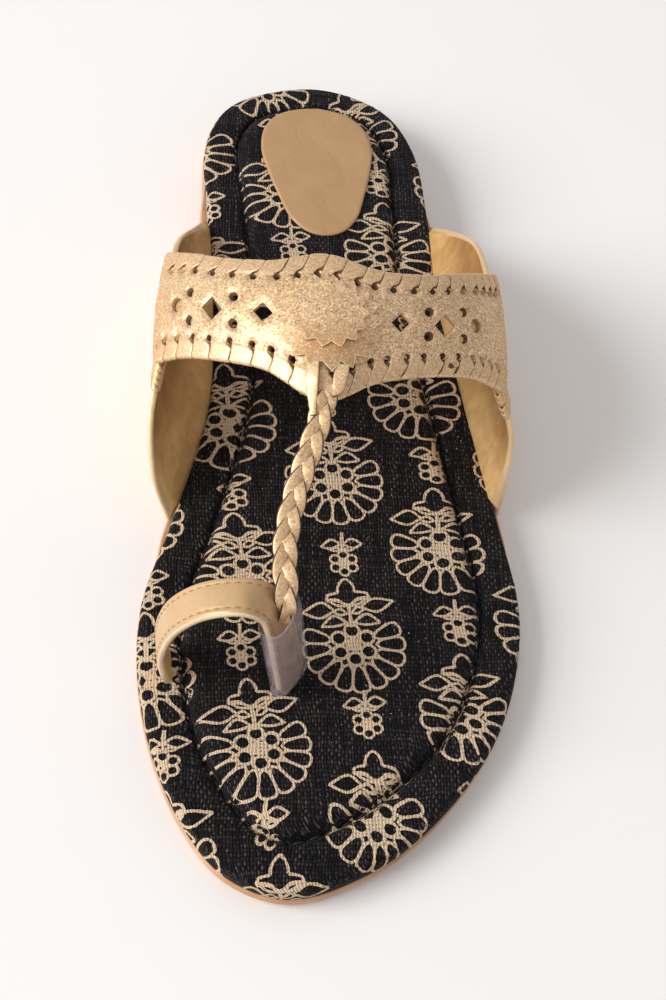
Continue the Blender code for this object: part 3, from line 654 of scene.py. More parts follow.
def strap_ring(centre, side, up, width, thickness, around=12, flatness=0.45):
    """A flattened oval round a strap's centre line."""
    turn = np.linspace(0.0, 2 * math.pi, around, endpoint=False)
    c, s = np.cos(turn), np.sin(turn)
    x = width / 2 * np.sign(c) * np.abs(c) ** flatness
    z = thickness / 2 * np.sign(s) * np.abs(s) ** 0.8
    return centre + side * x[:, None] + up * z[:, None]


def frames(path, widths):
    """Width and thickness directions square to each point of a path."""
    tangent = unit(np.gradient(path, axis=0))
    across = unit(widths - tangent * np.sum(widths * tangent, axis=1, keepdims=True))
    return across, np.cross(tangent, across)


def stitches(path, normals, length, pitch, radius, sink=0.25):
    """Short thread stitches along a path, each a thin bead with its ends sunk into the surface."""
    lengths = lengths_of(path)
    tubes = []
    for start in np.arange(pitch / 2, lengths[-1] - pitch / 2, pitch):
        rings = []
        for share, swell in ((0.0, 0.35), (0.18, 0.85), (0.5, 1.0), (0.82, 0.85), (1.0, 0.35)):
            at = start + length * (share - 0.5)
            centre = np.array([np.interp(at, lengths, column) for column in path.T])
            ahead = np.array([np.interp(at + 0.2, lengths, column) for column in path.T]) - centre
            up = unit(np.array([np.interp(at, lengths, column) for column in normals.T]))
            side = unit(np.cross(unit(ahead), up))
            height = radius * (1.0 - (2 * share - 1) ** 2 * (1.0 + sink / radius))
            width, thickness = 2 * radius * swell, 1.6 * radius * swell
            rings.append(strap_ring(centre + up * height, side, up, width, thickness, 8, 0.9))
        tubes.append(rings)
    return tubes


# ---------------------------------------------------------------- finishes


def linear(code, alpha=1.0):
    """An sRGB hex colour as the linear values that shaders take."""
    shares = [int(code[i : i + 2], 16) / 255 for i in (1, 3, 5)]
    return (*(c / 12.92 if c <= 0.04045 else ((c + 0.055) / 1.055) ** 2.4 for c in shares), alpha)


def of_linear(colour, share=(1.0, 1.0, 1.0)):
    """A linear colour, or that share of each part of it, as shaders take it."""
    return (*(a * b for a, b in zip(colour, share)), 1.0)


def per(millimetres):
    """The scale at which a texture repeats once in that many millimetres."""
    return 1.0 / (millimetres * MM)


def add(tree, kind, sockets=(), **settings):
    """Adds a node with its settings; each socket takes a value or another node's output."""
    made = tree.nodes.new("ShaderNode" + kind)
    for name, value in settings.items():
        setattr(made, name, value)
    for name, value in dict(sockets).items():
        socket = next(s for s in made.inputs if name in (s.identifier, s.name))
        if isinstance(value, bpy.types.NodeSocket):
            tree.links.new(value, socket)
        else:
            socket.default_value = value
    return made


def start_finish(name, **sockets):
    """A new material, its node tree, its shader and the place in the object's own coordinates."""
    made = bpy.data.materials.new(name)
    made.use_nodes = True
    tree = made.node_tree
    shader = tree.nodes["Principled BSDF"]
    for socket, value in sockets.items():
        shader.inputs[socket.replace("_", " ")].default_value = value
    where = add(tree, "TexCoord").outputs["Object"]
    return made, tree, shader, where


def woven_height(tree, where, pitch):
    """Height of a plain weave, and which set of threads is on top: each rides over one and under the next.

    The height up the sandal is added to both directions, so that the weave also runs down a side.
    """
    drift = add(tree, "TexNoise", {"Vector": where, "Scale": per(9.0), "Detail": 2.0}).outputs["Color"]
    sway = (1.8 * pitch * MM,) * 3
    moved = {"Vector": drift, "Vector_001": sway, "Vector_002": where}
    moved = add(tree, "VectorMath", moved, operation="MULTIPLY_ADD").outputs[0]
    parts = add(tree, "SeparateXYZ", {"Vector": moved}).outputs
    waves = []
    for axis, sign, spacing in (("X", 1.0, WARP_SHARE), ("Y", -1.0, WEFT_SHARE)):
        run = {"Value": parts["Z"], "Value_001": sign, "Value_002": parts[axis]}
        turn = {"Value": add(tree, "Math", run, operation="MULTIPLY_ADD").outputs[0]}
        turn["Value_001"] = math.pi * per(pitch * spacing)
        angle = add(tree, "Math", turn, operation="MULTIPLY").outputs[0]
        waves.append(add(tree, "Math", {"Value": angle}, operation="SINE").outputs[0])
    over = add(tree, "Math", {"Value": waves[0], "Value_001": waves[1]}, operation="MULTIPLY").outputs[0]
    heights = []
    for wave, sign in zip(waves, (0.9, -0.9)):
        lift = add(tree, "Math", {"Value": over, "Value_001": sign}, operation="MULTIPLY").outputs[0]
        sum_up = {"Value": wave, "Value_001": wave, "Value_002": lift}
        heights.append(add(tree, "Math", sum_up, operation="MULTIPLY_ADD").outputs[0])
    top = add(tree, "Math", {"Value": heights[0], "Value_001": heights[1]}, operation="MAXIMUM").outputs[0]
    return top, over


def woven_cotton(colours, thread_pitch):
    # Coarse handloom cotton, dyed black: matt, slubby threads whose round backs take a painted grey highlight
    made, tree, shader, where = start_finish("handloom_cotton_black", Roughness=0.75, Specular_IOR_Level=0.16)
    shader.inputs["Sheen Weight"].default_value = 0.02
    shader.inputs["Sheen Roughness"].default_value = 0.4
    top, over = woven_height(tree, where, thread_pitch)
    slubs = []
    for squeeze in ((0.25, 2.2, 2.2), (2.2, 0.25, 2.2)):
        drawn = add(tree, "Mapping", {"Vector": where, "Scale": squeeze})
        slub = {"Vector": drawn.outputs[0], "Scale": per(2.4 * thread_pitch), "Detail": 2.0}
        slubs.append(add(tree, "TexNoise", slub).outputs["Fac"])
    warp_up = add(tree, "MapRange", {"Value": over, "From Min": -0.2, "From Max": 0.2}).outputs[0]
    upper_thread = {"Factor_Float": warp_up, "A_Float": slubs[0], "B_Float": slubs[1]}
    slub = add(tree, "Mix", upper_thread, data_type="FLOAT").outputs[0]
    # Painted highlight: grey on the crests of the weave, strongest on the warp threads
    lit = add(tree, "MapRange", {"Value": top, "From Min": 0.6, "From Max": 1.5}).outputs[0]
    thick = {"Value": slub, "From Min": 0.42, "From Max": 0.66}
    thick = add(tree, "MapRange", thick).outputs[0]
    share = add(tree, "Math", {"Value": lit, "Value_001": thick}, operation="MULTIPLY").outputs[0]
    shown = add(tree, "MapRange", {"Value": warp_up, "To Min": 0.35}).outputs[0]
    share = add(tree, "Math", {"Value": share, "Value_001": shown}, operation="MULTIPLY").outputs[0]
    mixed = {"Factor_Float": share, "A_Color": (*colours.cloth, 1.0), "B_Color": linear("#5a5252")}
    cloth = add(tree, "Mix", mixed, data_type="RGBA").outputs[2]
    fluff = add(tree, "TexVoronoi", {"Vector": where, "Scale": per(1.7), "Randomness": 1.0})
    clumps = add(tree, "TexNoise", {"Vector": where, "Scale": per(22.0), "Detail": 2.0}).outputs["Fac"]
    dusty = {"Value": clumps, "From Min": 0.45, "From Max": 0.7, "To Min": 0.0, "To Max": 0.12}
    limit = add(tree, "MapRange", dusty).outputs[0]
    near = {"Value": fluff.outputs["Distance"], "Value_001": limit}
    speck = add(tree, "Math", near, operation="LESS_THAN").outputs[0]
    flecked = {"Factor_Float": speck, "A_Color": cloth, "B_Color": linear("#a39c98")}
    base = add(tree, "Mix", flecked, data_type="RGBA").outputs[2]
    tree.links.new(base, shader.inputs["Base Color"])
    raised = {"Value": slub, "Value_001": 0.9, "Value_002": top}
    raised = add(tree, "Math", raised, operation="MULTIPLY_ADD").outputs[0]
    bump = add(tree, "Bump", {"Height": raised, "Strength": 0.9, "Distance": 0.2 * MM})
    tree.links.new(bump.outputs[0], shader.inputs["Normal"])
    return made


def print_ink(colours, thread_pitch):
    # Cream pigment block-printed on the cloth: matt, thin on the thread tops and missing in the hollows
    name = "block_printed_cream_pigment"
    made, tree, shader, where = start_finish(name, Roughness=0.85, Specular_IOR_Level=0.25)
    top, _ = woven_height(tree, where, thread_pitch)
    patchy = add(tree, "TexNoise", {"Vector": where, "Scale": per(2.2), "Detail": 3.0})
    cover = {"Value": top, "Value_001": 0.55, "Value_002": patchy.outputs["Fac"]}
    cover = add(tree, "Math", cover, operation="MULTIPLY_ADD").outputs[0]
    share = add(tree, "MapRange", {"Value": cover, "From Min": 0.42, "From Max": 0.8}).outputs[0]
    mixed = {"Factor_Float": share, "A_Color": linear("#6d5f50"), "B_Color": (*colours.ink, 1.0)}
    base = add(tree, "Mix", mixed, data_type="RGBA").outputs[2]
    tree.links.new(base, shader.inputs["Base Color"])
    bump = add(tree, "Bump", {"Height": top, "Strength": 0.8, "Distance": 0.16 * MM})
    tree.links.new(bump.outputs[0], shader.inputs["Normal"])
    return made


def foiled_leather(name, gold, grit=1.0, calm=None, deep=(0.86, 0.79, 0.7)):
    """Sheep leather under a pale metal foil: fine grit of dark pits and painted glints, stretched smooth past
    a bend and darker there by painted shade.

    calm gives the axis, and where along it in millimetres the stretching and the painted shade start and end;
    deep is the tint of that painted shade. The grit is drawn at a third of a millimetre, several times its
    real size, or it wouldn't show.
    """
    made, tree, shader, where = start_finish(name, Metallic=0.5)
    axis, near, far = calm or ("X", 36.0, 46.0)
    place_on = add(tree, "SeparateXYZ", {"Vector": where}).outputs[axis]
    if near > 0.0:
        place_on = add(tree, "Math", {"Value": place_on}, operation="ABSOLUTE").outputs[0]
    span = {"Value": place_on, "From Min": near * MM, "From Max": far * MM, "To Min": 1.0, "To Max": 0.55}
    gritty = add(tree, "MapRange", span).outputs[0]
    cells = add(tree, "TexVoronoi", {"Vector": where, "Scale": per(0.34)})
    glint = add(tree, "SeparateColor", {"Color": cells.outputs["Color"]}).outputs[0]
    grain = {"Vector": where, "Scale": per(0.6), "Detail": 2.0, "Roughness": 0.75}
    grain = add(tree, "TexNoise", grain).outputs["Fac"]
    worn = add(tree, "TexNoise", {"Vector": where, "Scale": per(14.0), "Detail": 3.0}).outputs["Fac"]
    tone = {"Value": glint, "Value_001": 0.38, "Value_002": grain}
    tone = add(tree, "Math", tone, operation="MULTIPLY_ADD").outputs[0]
    pit = add(tree, "MapRange", {"Value": tone, "From Min": 0.62, "From Max": 0.44}).outputs[0]
    painted_glint = add(tree, "MapRange", {"Value": tone, "From Min": 0.74, "From Max": 0.94}).outputs[0]
    # Painted shade: past the bend the base darkens towards the deep tint, where the leather turns away from
    # the light
    painted_shade_share = {"Value": gritty, "From Min": 0.55, "From Max": 1.0, "To Min": 0.9, "To Max": 0.0}
    painted_shade_share = add(tree, "MapRange", painted_shade_share).outputs[0]
    patchy = {"Value": worn, "From Min": 0.35, "From Max": 0.65, "To Max": 0.35}
    patchy = add(tree, "MapRange", patchy).outputs[0]
    base = {"Factor_Float": patchy, "A_Color": of_linear(gold), "B_Color": of_linear(gold, (0.88, 0.8, 0.7))}
    base = add(tree, "Mix", base, data_type="RGBA").outputs[2]
    with_painted_shade = {"Factor_Float": painted_shade_share, "A_Color": base, "B_Color": of_linear(gold, deep)}
    base = add(tree, "Mix", with_painted_shade, data_type="RGBA").outputs[2]
    # The dark pits lie low in the grain's relief; the pale peaks are painted glints of the foil
    for mask, tint, share in (
        (pit, of_linear(gold, (0.5, 0.38, 0.26)), 0.95 * grit),
        (painted_glint, of_linear(gold, (1.45, 1.62, 1.95)), 1.0 * grit),
    ):
        amount = add(tree, "Math", {"Value": mask, "Value_001": share}, operation="MULTIPLY").outputs[0]
        amount = add(tree, "Math", {"Value": amount, "Value_001": gritty}, operation="MULTIPLY").outputs[0]
        tinted = {"Factor_Float": amount, "A_Color": base, "B_Color": tint}
        base = add(tree, "Mix", tinted, data_type="RGBA").outputs[2]
    tree.links.new(base, shader.inputs["Base Color"])
    folds = add(tree, "TexNoise", {"Vector": where, "Scale": per(7.0), "Detail": 2.0}).outputs["Fac"]
    grit_height = {"Value": gritty, "Value_001": 0.22 * grit}
    grit_height = add(tree, "Math", grit_height, operation="MULTIPLY").outputs[0]
    relief = {"Value": tone, "Value_001": grit_height, "Value_002": folds}
    relief = add(tree, "Math", relief, operation="MULTIPLY_ADD").outputs[0]
    bump = add(tree, "Bump", {"Height": relief, "Strength": 0.6, "Distance": 0.5 * MM})
    tree.links.new(bump.outputs[0], shader.inputs["Normal"])
    rough = {"Value": grain, "From Min": 0.3, "From Max": 0.7, "To Min": 0.38, "To Max": 0.52}
    tree.links.new(add(tree, "MapRange", rough).outputs[0], shader.inputs["Roughness"])
    return made


def satin_lining(name, tint, shade, roughness=0.4, metallic=0.3):
    """Smooth gold lining leather: satin, brushed up its height, with faint long wrinkles."""
    made, tree, shader, where = start_finish(name, Metallic=metallic)
    wrinkles = add(tree, "TexNoise", {"Vector": where, "Scale": per(11.0), "Detail": 3.0, "Distortion": 0.8})
    drawn = add(tree, "Mapping", {"Vector": where, "Scale": (1.0, 1.0, 0.12)}).outputs[0]
    brushed = add(tree, "TexNoise", {"Vector": drawn, "Scale": per(0.7), "Detail": 2.0}).outputs["Fac"]
    both = {"Value": brushed, "Value_001": 0.35, "Value_002": wrinkles.outputs["Fac"]}
    both = add(tree, "Math", both, operation="MULTIPLY_ADD").outputs[0]
    share = add(tree, "MapRange", {"Value": both, "From Min": 0.4, "From Max": 1.0}).outputs[0]
    base = {"Factor_Float": share, "A_Color": shade, "B_Color": tint}
    base = add(tree, "Mix", base, data_type="RGBA").outputs[2]
    tree.links.new(base, shader.inputs["Base Color"])
    height = {"Value": brushed, "Value_001": 0.05, "Value_002": wrinkles.outputs["Fac"]}
    height = add(tree, "Math", height, operation="MULTIPLY_ADD").outputs[0]
    bump = add(tree, "Bump", {"Height": height, "Strength": 0.5, "Distance": 0.8 * MM})
    tree.links.new(bump.outputs[0], shader.inputs["Normal"])
    rough = {"Value": brushed, "From Min": 0.3, "From Max": 0.7}
    rough.update({"To Min": roughness - 0.07, "To Max": roughness + 0.07})
    tree.links.new(add(tree, "MapRange", rough).outputs[0], shader.inputs["Roughness"])
    return made


def brushed_lining(name, tint):
    """Gold-foiled lining leather: brushed in streaks up its height, pale by the footbed and browner above.

    The change with height is painted on: it stands in for what the leather reflects, and isn't wear.
    """
    made, tree, shader, where = start_finish(name, Metallic=0.15)
    drawn = add(tree, "Mapping", {"Vector": where, "Scale": (1.0, 1.0, 0.15)}).outputs[0]
    streaks = {"Vector": drawn, "Scale": per(1.6), "Detail": 3.0, "Roughness": 0.65}
    streaks = add(tree, "TexNoise", streaks).outputs["Fac"]
    wrinkles = {"Vector": where, "Scale": per(9.0), "Detail": 2.0, "Distortion": 0.6}
    wrinkles = add(tree, "TexNoise", wrinkles).outputs["Fac"]
    both = {"Value": streaks, "Value_001": 0.8, "Value_002": wrinkles}
    both = add(tree, "Math", both, operation="MULTIPLY_ADD").outputs[0]
    share = add(tree, "MapRange", {"Value": both, "From Min": 0.65, "From Max": 1.1}).outputs[0]
    above_floor = add(tree, "SeparateXYZ", {"Vector": where}).outputs["Z"]
    browner = {"Value": above_floor, "From Min": LINING_PALE_END * MM, "From Max": LINING_BROWN_START * MM}
    browner = add(tree, "MapRange", browner, interpolation_type="SMOOTHSTEP").outputs[0]
    tones = []
    for pale in ((0.78, 0.72, 0.62), (1.0, 1.0, 1.0)):
        brown = np.array(pale) * (0.62, 0.52, 0.43)
        tone = {"Factor_Float": browner, "A_Color": of_linear(tint, pale), "B_Color": of_linear(tint, brown)}
        tones.append(add(tree, "Mix", tone, data_type="RGBA").outputs[2])
    base = {"Factor_Float": share, "A_Color": tones[0], "B_Color": tones[1]}
    tree.links.new(add(tree, "Mix", base, data_type="RGBA").outputs[2], shader.inputs["Base Color"])
    relief = {"Value": streaks, "Value_001": 0.12, "Value_002": wrinkles}
    relief = add(tree, "Math", relief, operation="MULTIPLY_ADD").outputs[0]
    bump = add(tree, "Bump", {"Height": relief, "Strength": 0.6, "Distance": 1.0 * MM})
    tree.links.new(bump.outputs[0], shader.inputs["Normal"])
    rough = {"Value": streaks, "From Min": 0.35, "From Max": 0.65, "To Min": 0.34, "To Max": 0.48}
    tree.links.new(add(tree, "MapRange", rough).outputs[0], shader.inputs["Roughness"])
    return made


def sole_leather(name, tint, shade):
    """Vegetable-tanned buffalo leather, cut and burnished: warm tan with fibres lying along the cut."""
    made, tree, shader, where = start_finish(name, Roughness=0.62, Specular_IOR_Level=0.35)
    stretched = add(tree, "Mapping", {"Vector": where, "Scale": (1.0, 1.0, 9.0)})
    fibre = {"Vector": stretched.outputs[0], "Scale": per(3.0), "Detail": 6.0, "Roughness": 0.65}
    fibre = add(tree, "TexNoise", fibre).outputs["Fac"]
    patch = add(tree, "TexNoise", {"Vector": where, "Scale": per(18.0), "Detail": 3.0})
    both = {"Value": fibre, "Value_001": 0.6, "Value_002": patch.outputs["Fac"]}
    both = add(tree, "Math", both, operation="MULTIPLY_ADD").outputs[0]
    share = add(tree, "MapRange", {"Value": both, "From Min": 0.5, "From Max": 1.1}).outputs[0]
    mixed = {"Factor_Float": share, "A_Color": shade, "B_Color": tint}
    base = add(tree, "Mix", mixed, data_type="RGBA").outputs[2]
    tree.links.new(base, shader.inputs["Base Color"])
    bump = add(tree, "Bump", {"Height": fibre, "Strength": 0.5, "Distance": 0.25 * MM})
    tree.links.new(bump.outputs[0], shader.inputs["Normal"])
    return made


def waxed_thread(name, tint):
    """Waxed cotton thread: soft sheen on its twist."""
    made, tree, shader, where = start_finish(name, Roughness=0.6, Specular_IOR_Level=0.4)
    twist = {"Vector": where, "Scale": per(1.2), "Distortion": 1.0}
    twist = add(tree, "TexWave", twist, bands_direction="DIAGONAL").outputs["Fac"]
    # Painted shade: the hollows of the twist are darker
    hollow = tuple(0.7 * c for c in tint[:3]) + (1.0,)
    mixed = {"Factor_Float": twist, "A_Color": hollow, "B_Color": tint}
    base = add(tree, "Mix", mixed, data_type="RGBA").outputs[2]
    tree.links.new(base, shader.inputs["Base Color"])
    bump = add(tree, "Bump", {"Height": twist, "Strength": 0.5, "Distance": 0.08 * MM})
    tree.links.new(bump.outputs[0], shader.inputs["Normal"])
    return made


def clear_vinyl(colours):
    # Soft PVC tube, lilac by its own tint: clear enough to show the strap, glossy, with faint ripples
    made, tree, shader, where = start_finish("soft_clear_vinyl", Roughness=0.2, IOR=1.5)
    shader.inputs["Base Color"].default_value = (*colours.vinyl, 1.0)
    shader.inputs["Coat Weight"].default_value = 0.6
    shader.inputs["Coat Roughness"].default_value = 0.12
    ripples = add(tree, "TexNoise", {"Vector": where, "Scale": per(5.0), "Detail": 3.0, "Distortion": 0.6})
    cloud = {"Value": ripples.outputs["Fac"], "From Min": 0.35, "From Max": 0.65}
    cloud.update({"To Min": 0.16, "To Max": 0.34})
    tree.links.new(add(tree, "MapRange", cloud).outputs[0], shader.inputs["Alpha"])
    bump = add(tree, "Bump", {"Height": ripples.outputs["Fac"], "Strength": 0.5, "Distance": 0.7 * MM})
    tree.links.new(bump.outputs[0], shader.inputs["Normal"])
    return made


# ---------------------------------------------------------------- sole, footbed and badge


def make_outsole(finish):
    edge = outsole_outline(SOLE)
    section = smooth_curve(OUTSOLE_SECTION, 5)
    rings = [on_sole(inset_outline(edge, inset), height) for inset, height in section]
    points, faces = ladder(rings)
    return piece("outsole_leather", points, faces, [finish], "outsole", ["outsole"])


def make_heel_lift(finish):
    """The stacked heel: level underneath, feathered out at its front below the arch."""
    edge = outsole_outline(SOLE)
    stations = SOLE[:, 1]
    first = int(np.argmax(stations >= LIFT_START))
    part = slice(first, len(SOLE) - first)
    rings = []
    for inset, share in smooth_curve(LIFT_SECTION, 4):
        ring = inset_outline(edge, max(inset, 0.2))[part]
        top = rise(ring[:, 1]) - GAP
        skive = np.clip((LIFT_TREAD_START - ring[:, 1]) / (LIFT_TREAD_START - stations[first]), 0.0, 1.0)
        bottom = (top - LIFT_FEATHER) * skive**1.5
        height = bottom + (top - bottom) * np.clip(share, 0.0, 1.0)
        rings.append(np.column_stack([ring[:, 0], ring[:, 1] + TOE_Y, height]))
    points, faces = ladder(rings)
    return piece("heel_lift_leather", points, faces, [finish], "heel_lift", ["heel_lift"])


def footbed_rings():
    """Rings up the footbed's side, over its rim, down into the sewn groove and up onto the pad."""
    table = np.array(FOOTBED_SECTION)
    table[:, 1] *= GROOVE_INSET
    section = smooth_curve(table, 5)
    section[:, 1] /= GROOVE_INSET
    rings = []
    for inset, share, height in section:
        ring = inset_outline(EVEN_SOLE, inset + share * groove_inset(EVEN_SOLE[:, 1]))
        rings.append(on_sole(ring, FOOTBED_LOW[2] + height))
    return rings


def make_footbed(finish, settings):
    """The cloth-covered footbed, soft enough to look sewn: its pad swells between the groove's stitches."""
    points, faces = ladder(footbed_rings(), 36, settings.pad_crown)
    on_top = smooth_step((points[:, 2] - rise(points[:, 1] - TOE_Y) - FOOTBED_LOW[2] - 3.0) / 1.5)
    uneven = 0.12 * ripple(points, 17.0, 3.0) + 0.05 * ripple(points, 6.0, 8.0)
    points = points + np.outer(on_top * uneven, (0.0, 0.0, 1.0))
    made = piece("footbed_cloth", points, faces, [finish], "footbed", ["footbed"], sharp=75.0)
    return points, faces


def make_groove_stitches(finish, settings):
    """The black thread at the bottom of the groove, which holds the pad down."""
    ring = inset_outline(SOLE, groove_inset(SOLE[:, 1]))
    path = resample(on_sole(ring, FOOTBED_LOW[2] + GROOVE_THREAD_HEIGHT), 900)
    upward = np.tile([0.0, 0.0, 1.0], (len(path), 1))
    tubes = stitches(path, upward, GROOVE_STITCH_LENGTH, settings.groove_stitch, GROOVE_THREAD, 0.12)
    points, faces = many_tubes(tubes)
    return piece("groove_stitches", points, faces, [finish], "footbed")


def make_heel_badge(finish):
    """A thin leather egg on the heel seat, with its narrow end towards the toe. It is left bare."""
    heel, toe = np.array(BADGE_HEEL_END), np.array(BADGE_TOE_END)
    length = np.linalg.norm(toe - heel)
    half = [(share * length, width * BADGE_WIDTH / 2) for share, width in BADGE_OUTLINE]
    mirrored = [(reach, -width) for reach, width in half[-2:0:-1]]
    edge = smooth_curve(half + mirrored, 10, closed=True)[:-1]
    middle = np.array([length / 2, 0.0])
    ahead = (toe - heel) / length
    aside = np.array([-ahead[1], ahead[0]])
    rings = []
    section = ((0.6, 0.0), (0.99, 0.0), (1.0, 0.25), (0.998, 0.55), (0.985, 0.78), (0.965, 0.88), (0.94, 0.9))
    section += ((0.8, 0.93), (0.6, 0.95), (0.4, 0.96), (0.2, 0.97), (0.05, 0.97))
    for shrink, height in section:
        flat = middle + (edge - middle) * shrink
        spread = heel + flat[:, :1] * ahead + flat[:, 1:] * aside
        up = rise(spread[:, 1]) + PAD_HEIGHT + GAP + height
        rings.append(place(np.column_stack([spread, up])))
    points, faces = np.vstack(rings), closed_tube(rings)
    points = points + np.outer(0.05 * ripple(points, 9.0, 5.0), (0.0, 0.0, 1.0))
    return piece("heel_badge_leather", points, faces, [finish], "heel_badge", ["heel_badge"])


# ---------------------------------------------------------------- block print


def leaf(base, upper, tip, lower):
    """A leaf with a sharp base and tip."""
    return np.vstack([smooth_curve([base, upper, tip], 8), smooth_curve([tip, lower, base], 8)[1:]])


def petal(angle):
    away = max(0.0, -math.sin(math.radians(angle)))
    points = []
    for reach, aside in PETAL:
        reach += PETAL_STRETCH * away * (reach - PETAL[0][0]) / 6.9
        turn = math.radians(angle + aside)
        points.append((reach * math.cos(turn), reach * math.sin(turn)))
    return smooth_curve(points, 6)


def ring_line(x, y, radius, count=20):
    turn = np.linspace(0.0, 2 * math.pi, count + 1)
    return np.column_stack([x + radius * np.cos(turn), y + radius * np.sin(turn)])


def flower_lines():
    """The large block: a round flower with six dots, and the leafy spray that grows from it."""
    lines = [(petal(FIRST_PETAL - PETAL_STEP * k), 1.0) for k in range(PETALS)]
    lines += [(leaf(*points), 1.0) for points in LEAVES]
    lines += [(smooth_curve(part, 6), 1.0) for part in BUD]
    lines.append((smooth_curve([(0.0, 5.0), (0.1, 8.0), (0.0, 11.4)], 8), 1.5))
    for k in range(DOTS):
        turn = math.radians(90 - 360 / DOTS * k)
        middle = DOT_REACH * math.cos(turn), DOT_REACH * math.sin(turn)
        lines.append((ring_line(*middle, DOT_RADIUS), 1.15))
    return lines, [((0.0, 0.0), 2.0)]


def sprig_lines():
    """The small block: six small rings and a leafy spike."""
    lines = []
    for k in range(6):
        turn = math.radians(90 - 60 * k)
        middle = SPRIG_REACH * math.cos(turn), SPRIG_REACH * math.sin(turn)
        lines.append((ring_line(*middle, SPRIG_RING, 14), 0.9))
    lines += [(leaf(*points), 0.95) for points in SPRIG_LEAVES]
    lines.append((smooth_curve([(0.0, 3.4), (0.1, 6.5), (0.3, 9.2)], 6), 1.25))
    return lines, [((0.0, 0.0), 1.2)]


def print_places():
    """Where each block was pressed: its kind, the middle of its flower, its turn and its size."""
    for column in range(-2, 3):
        for row in range(-2, 6):
            for small in (0, 1):
                along = PRINT_ORIGIN[1] + COLUMN_DROP * column + PRINT_REPEAT * (row + small / 2)
                lean, bend = PRINT_DRIFT
                x = PRINT_ORIGIN[0] + COLUMN_STEP * column + lean * along + bend * along**2
                x += SPRIG_SHIFT * small
                if -20.0 < along < SOLE_LENGTH + 20.0:
                    off = PRINT_NUDGES.get((column, row, small), (0.0, 0.0))
                    turned, size = PRINT_SETTING.get((column, row, small), (0.0, 1.0))
                    turned = math.radians(turned) - math.atan(lean + 2 * bend * along)
                    yield small, np.array([x, along]) + off, turned, size


class Cloth:
    """The footbed's cloth, as something to print on."""

    def __init__(self, points, faces):
        self.tree = BVHTree.FromPolygons(points.tolist(), [tuple(face) for face in faces])
        self.edge = resample(SOLE, 1600)
        ahead = unit(np.gradient(self.edge, axis=0))
        self.inward = np.column_stack([ahead[:, 1], -ahead[:, 0]])
        section = [(inset, height) for inset, share, height in FOOTBED_SECTION if share == 0.0]
        self.section = smooth_curve(section, 8)[::-1]
        self.down = lengths_of(self.section)

    def lay(self, spot, lift):
        """The place on the cloth for a spot of the flat print, or None past the underside."""
        gaps = np.hypot(*(self.edge - spot).T)
        nearest = int(np.argmin(gaps))
        inside = float(np.dot(spot - self.edge[nearest], self.inward[nearest]))
        depth = inside if abs(inside) > 0.9 * gaps[nearest] else math.copysign(gaps[nearest], inside)
        past = depth - float(groove_inset(spot[1]))
        tuck = min(abs(past), GROOVE_TUCK * math.exp(-((past / TUCK_SPREAD) ** 2)))
        if abs(past) <= 0.75 * tuck:
            return None
        depth -= math.copysign(tuck, past)
        if depth >= EDGE_ROLL:
            spot = spot - self.inward[nearest] * math.copysign(tuck, past)
            x, y = spot[0], spot[1] + TOE_Y
            hit = self.tree.ray_cast((x, y, 200.0), (0.0, 0.0, -1.0))[0]
            return None if hit is None else np.array(hit) + (0.0, 0.0, lift)
        travel = EDGE_ROLL - depth
        if travel > self.down[-1] - 1.2:
            return None
        inset, height = (np.interp(travel, self.down, column) for column in self.section.T)
        slope = np.array([np.interp(travel + 0.2, self.down, column) for column in self.section.T])
        slope = slope - (inset, height)
        outward = unit(np.array([slope[1], -slope[0]]))
        inset, height = inset + outward[0] * lift, height + outward[1] * lift
        x, along = self.edge[nearest] + self.inward[nearest] * inset
        return np.array([x, along + TOE_Y, rise(self.edge[nearest, 1]) + FOOTBED_LOW[2] + height])


def lay_strip(cloth, line, width, chance, lift):
    """A printed line as a flat strip on the cloth, or several where it leaves the footbed."""
    line = resample(line, max(4, int(lengths_of(line)[-1] / 0.5) + 1))
    closed = np.linalg.norm(line[0] - line[-1]) < 1e-6
    ahead = unit(np.gradient(line, axis=0))
    if closed:
        ahead[0] = ahead[-1] = unit(line[1] - line[-2])
    side = np.column_stack([-ahead[:, 1], ahead[:, 0]])
    wobble = [chance.uniform(0.8, 1.2) for _ in line]
    wobble[-1] = wobble[0]
    points, faces = [], []
    previous = None
    for spot, aside, share in zip(line, side, wobble):
        pair = [cloth.lay(spot + aside * step * width * share / 2, lift) for step in (-1.0, 1.0)]
        if pair[0] is None or pair[1] is None:
            previous = None
            continue
        points += pair
        here = len(points) - 2
        if previous is not None:
            faces.append((previous, previous + 1, here + 1, here))
        previous = here
    return points, faces


def make_print(cloth, finish, settings):
    """Every motif's lines, laid on the cloth as the printing blocks leave them."""
    chance = random.Random(11)
    points, faces = [], []
    motifs = (flower_lines(), sprig_lines())
    for kind, middle, turn, size in print_places():
        if np.hypot(*(cloth.edge - middle).T).min() > BLOCK_REACH and not inside_sole(middle):
            continue
        turn += chance.uniform(-0.02, 0.02)
        spin = size * np.array([[math.cos(turn), -math.sin(turn)], [math.sin(turn), math.cos(turn)]])
        lines, blobs = motifs[kind]
        strips = [(line @ spin.T + middle, width * settings.line_width) for line, width in lines]
        for centre, radius in blobs:
            strips.append((ring_line(*(spin @ centre + middle), radius / 2, 14), radius * 1.04))
        for line, width in strips:
            lift = settings.print_lift + chance.uniform(0.0, 0.02)
            new_points, new_faces = lay_strip(cloth, line, width, chance, lift)
            start = len(points)
            points += new_points
            faces += [tuple(start + corner for corner in face) for face in new_faces]
    return piece("block_print", np.array(points), faces, [finish], "footbed", merge=False, sharp=80.0)


def inside_sole(spot):
    heel = len(SOLE) // 2
    medial = np.interp(spot[1], SOLE[: heel + 1, 1], SOLE[: heel + 1, 0])
    lateral = np.interp(spot[1], SOLE[heel:][::-1, 1], SOLE[heel:][::-1, 0])
    return 0.0 < spot[1] < SOLE_LENGTH and medial < spot[0] < lateral


# ---------------------------------------------------------------- band, wings and lacing


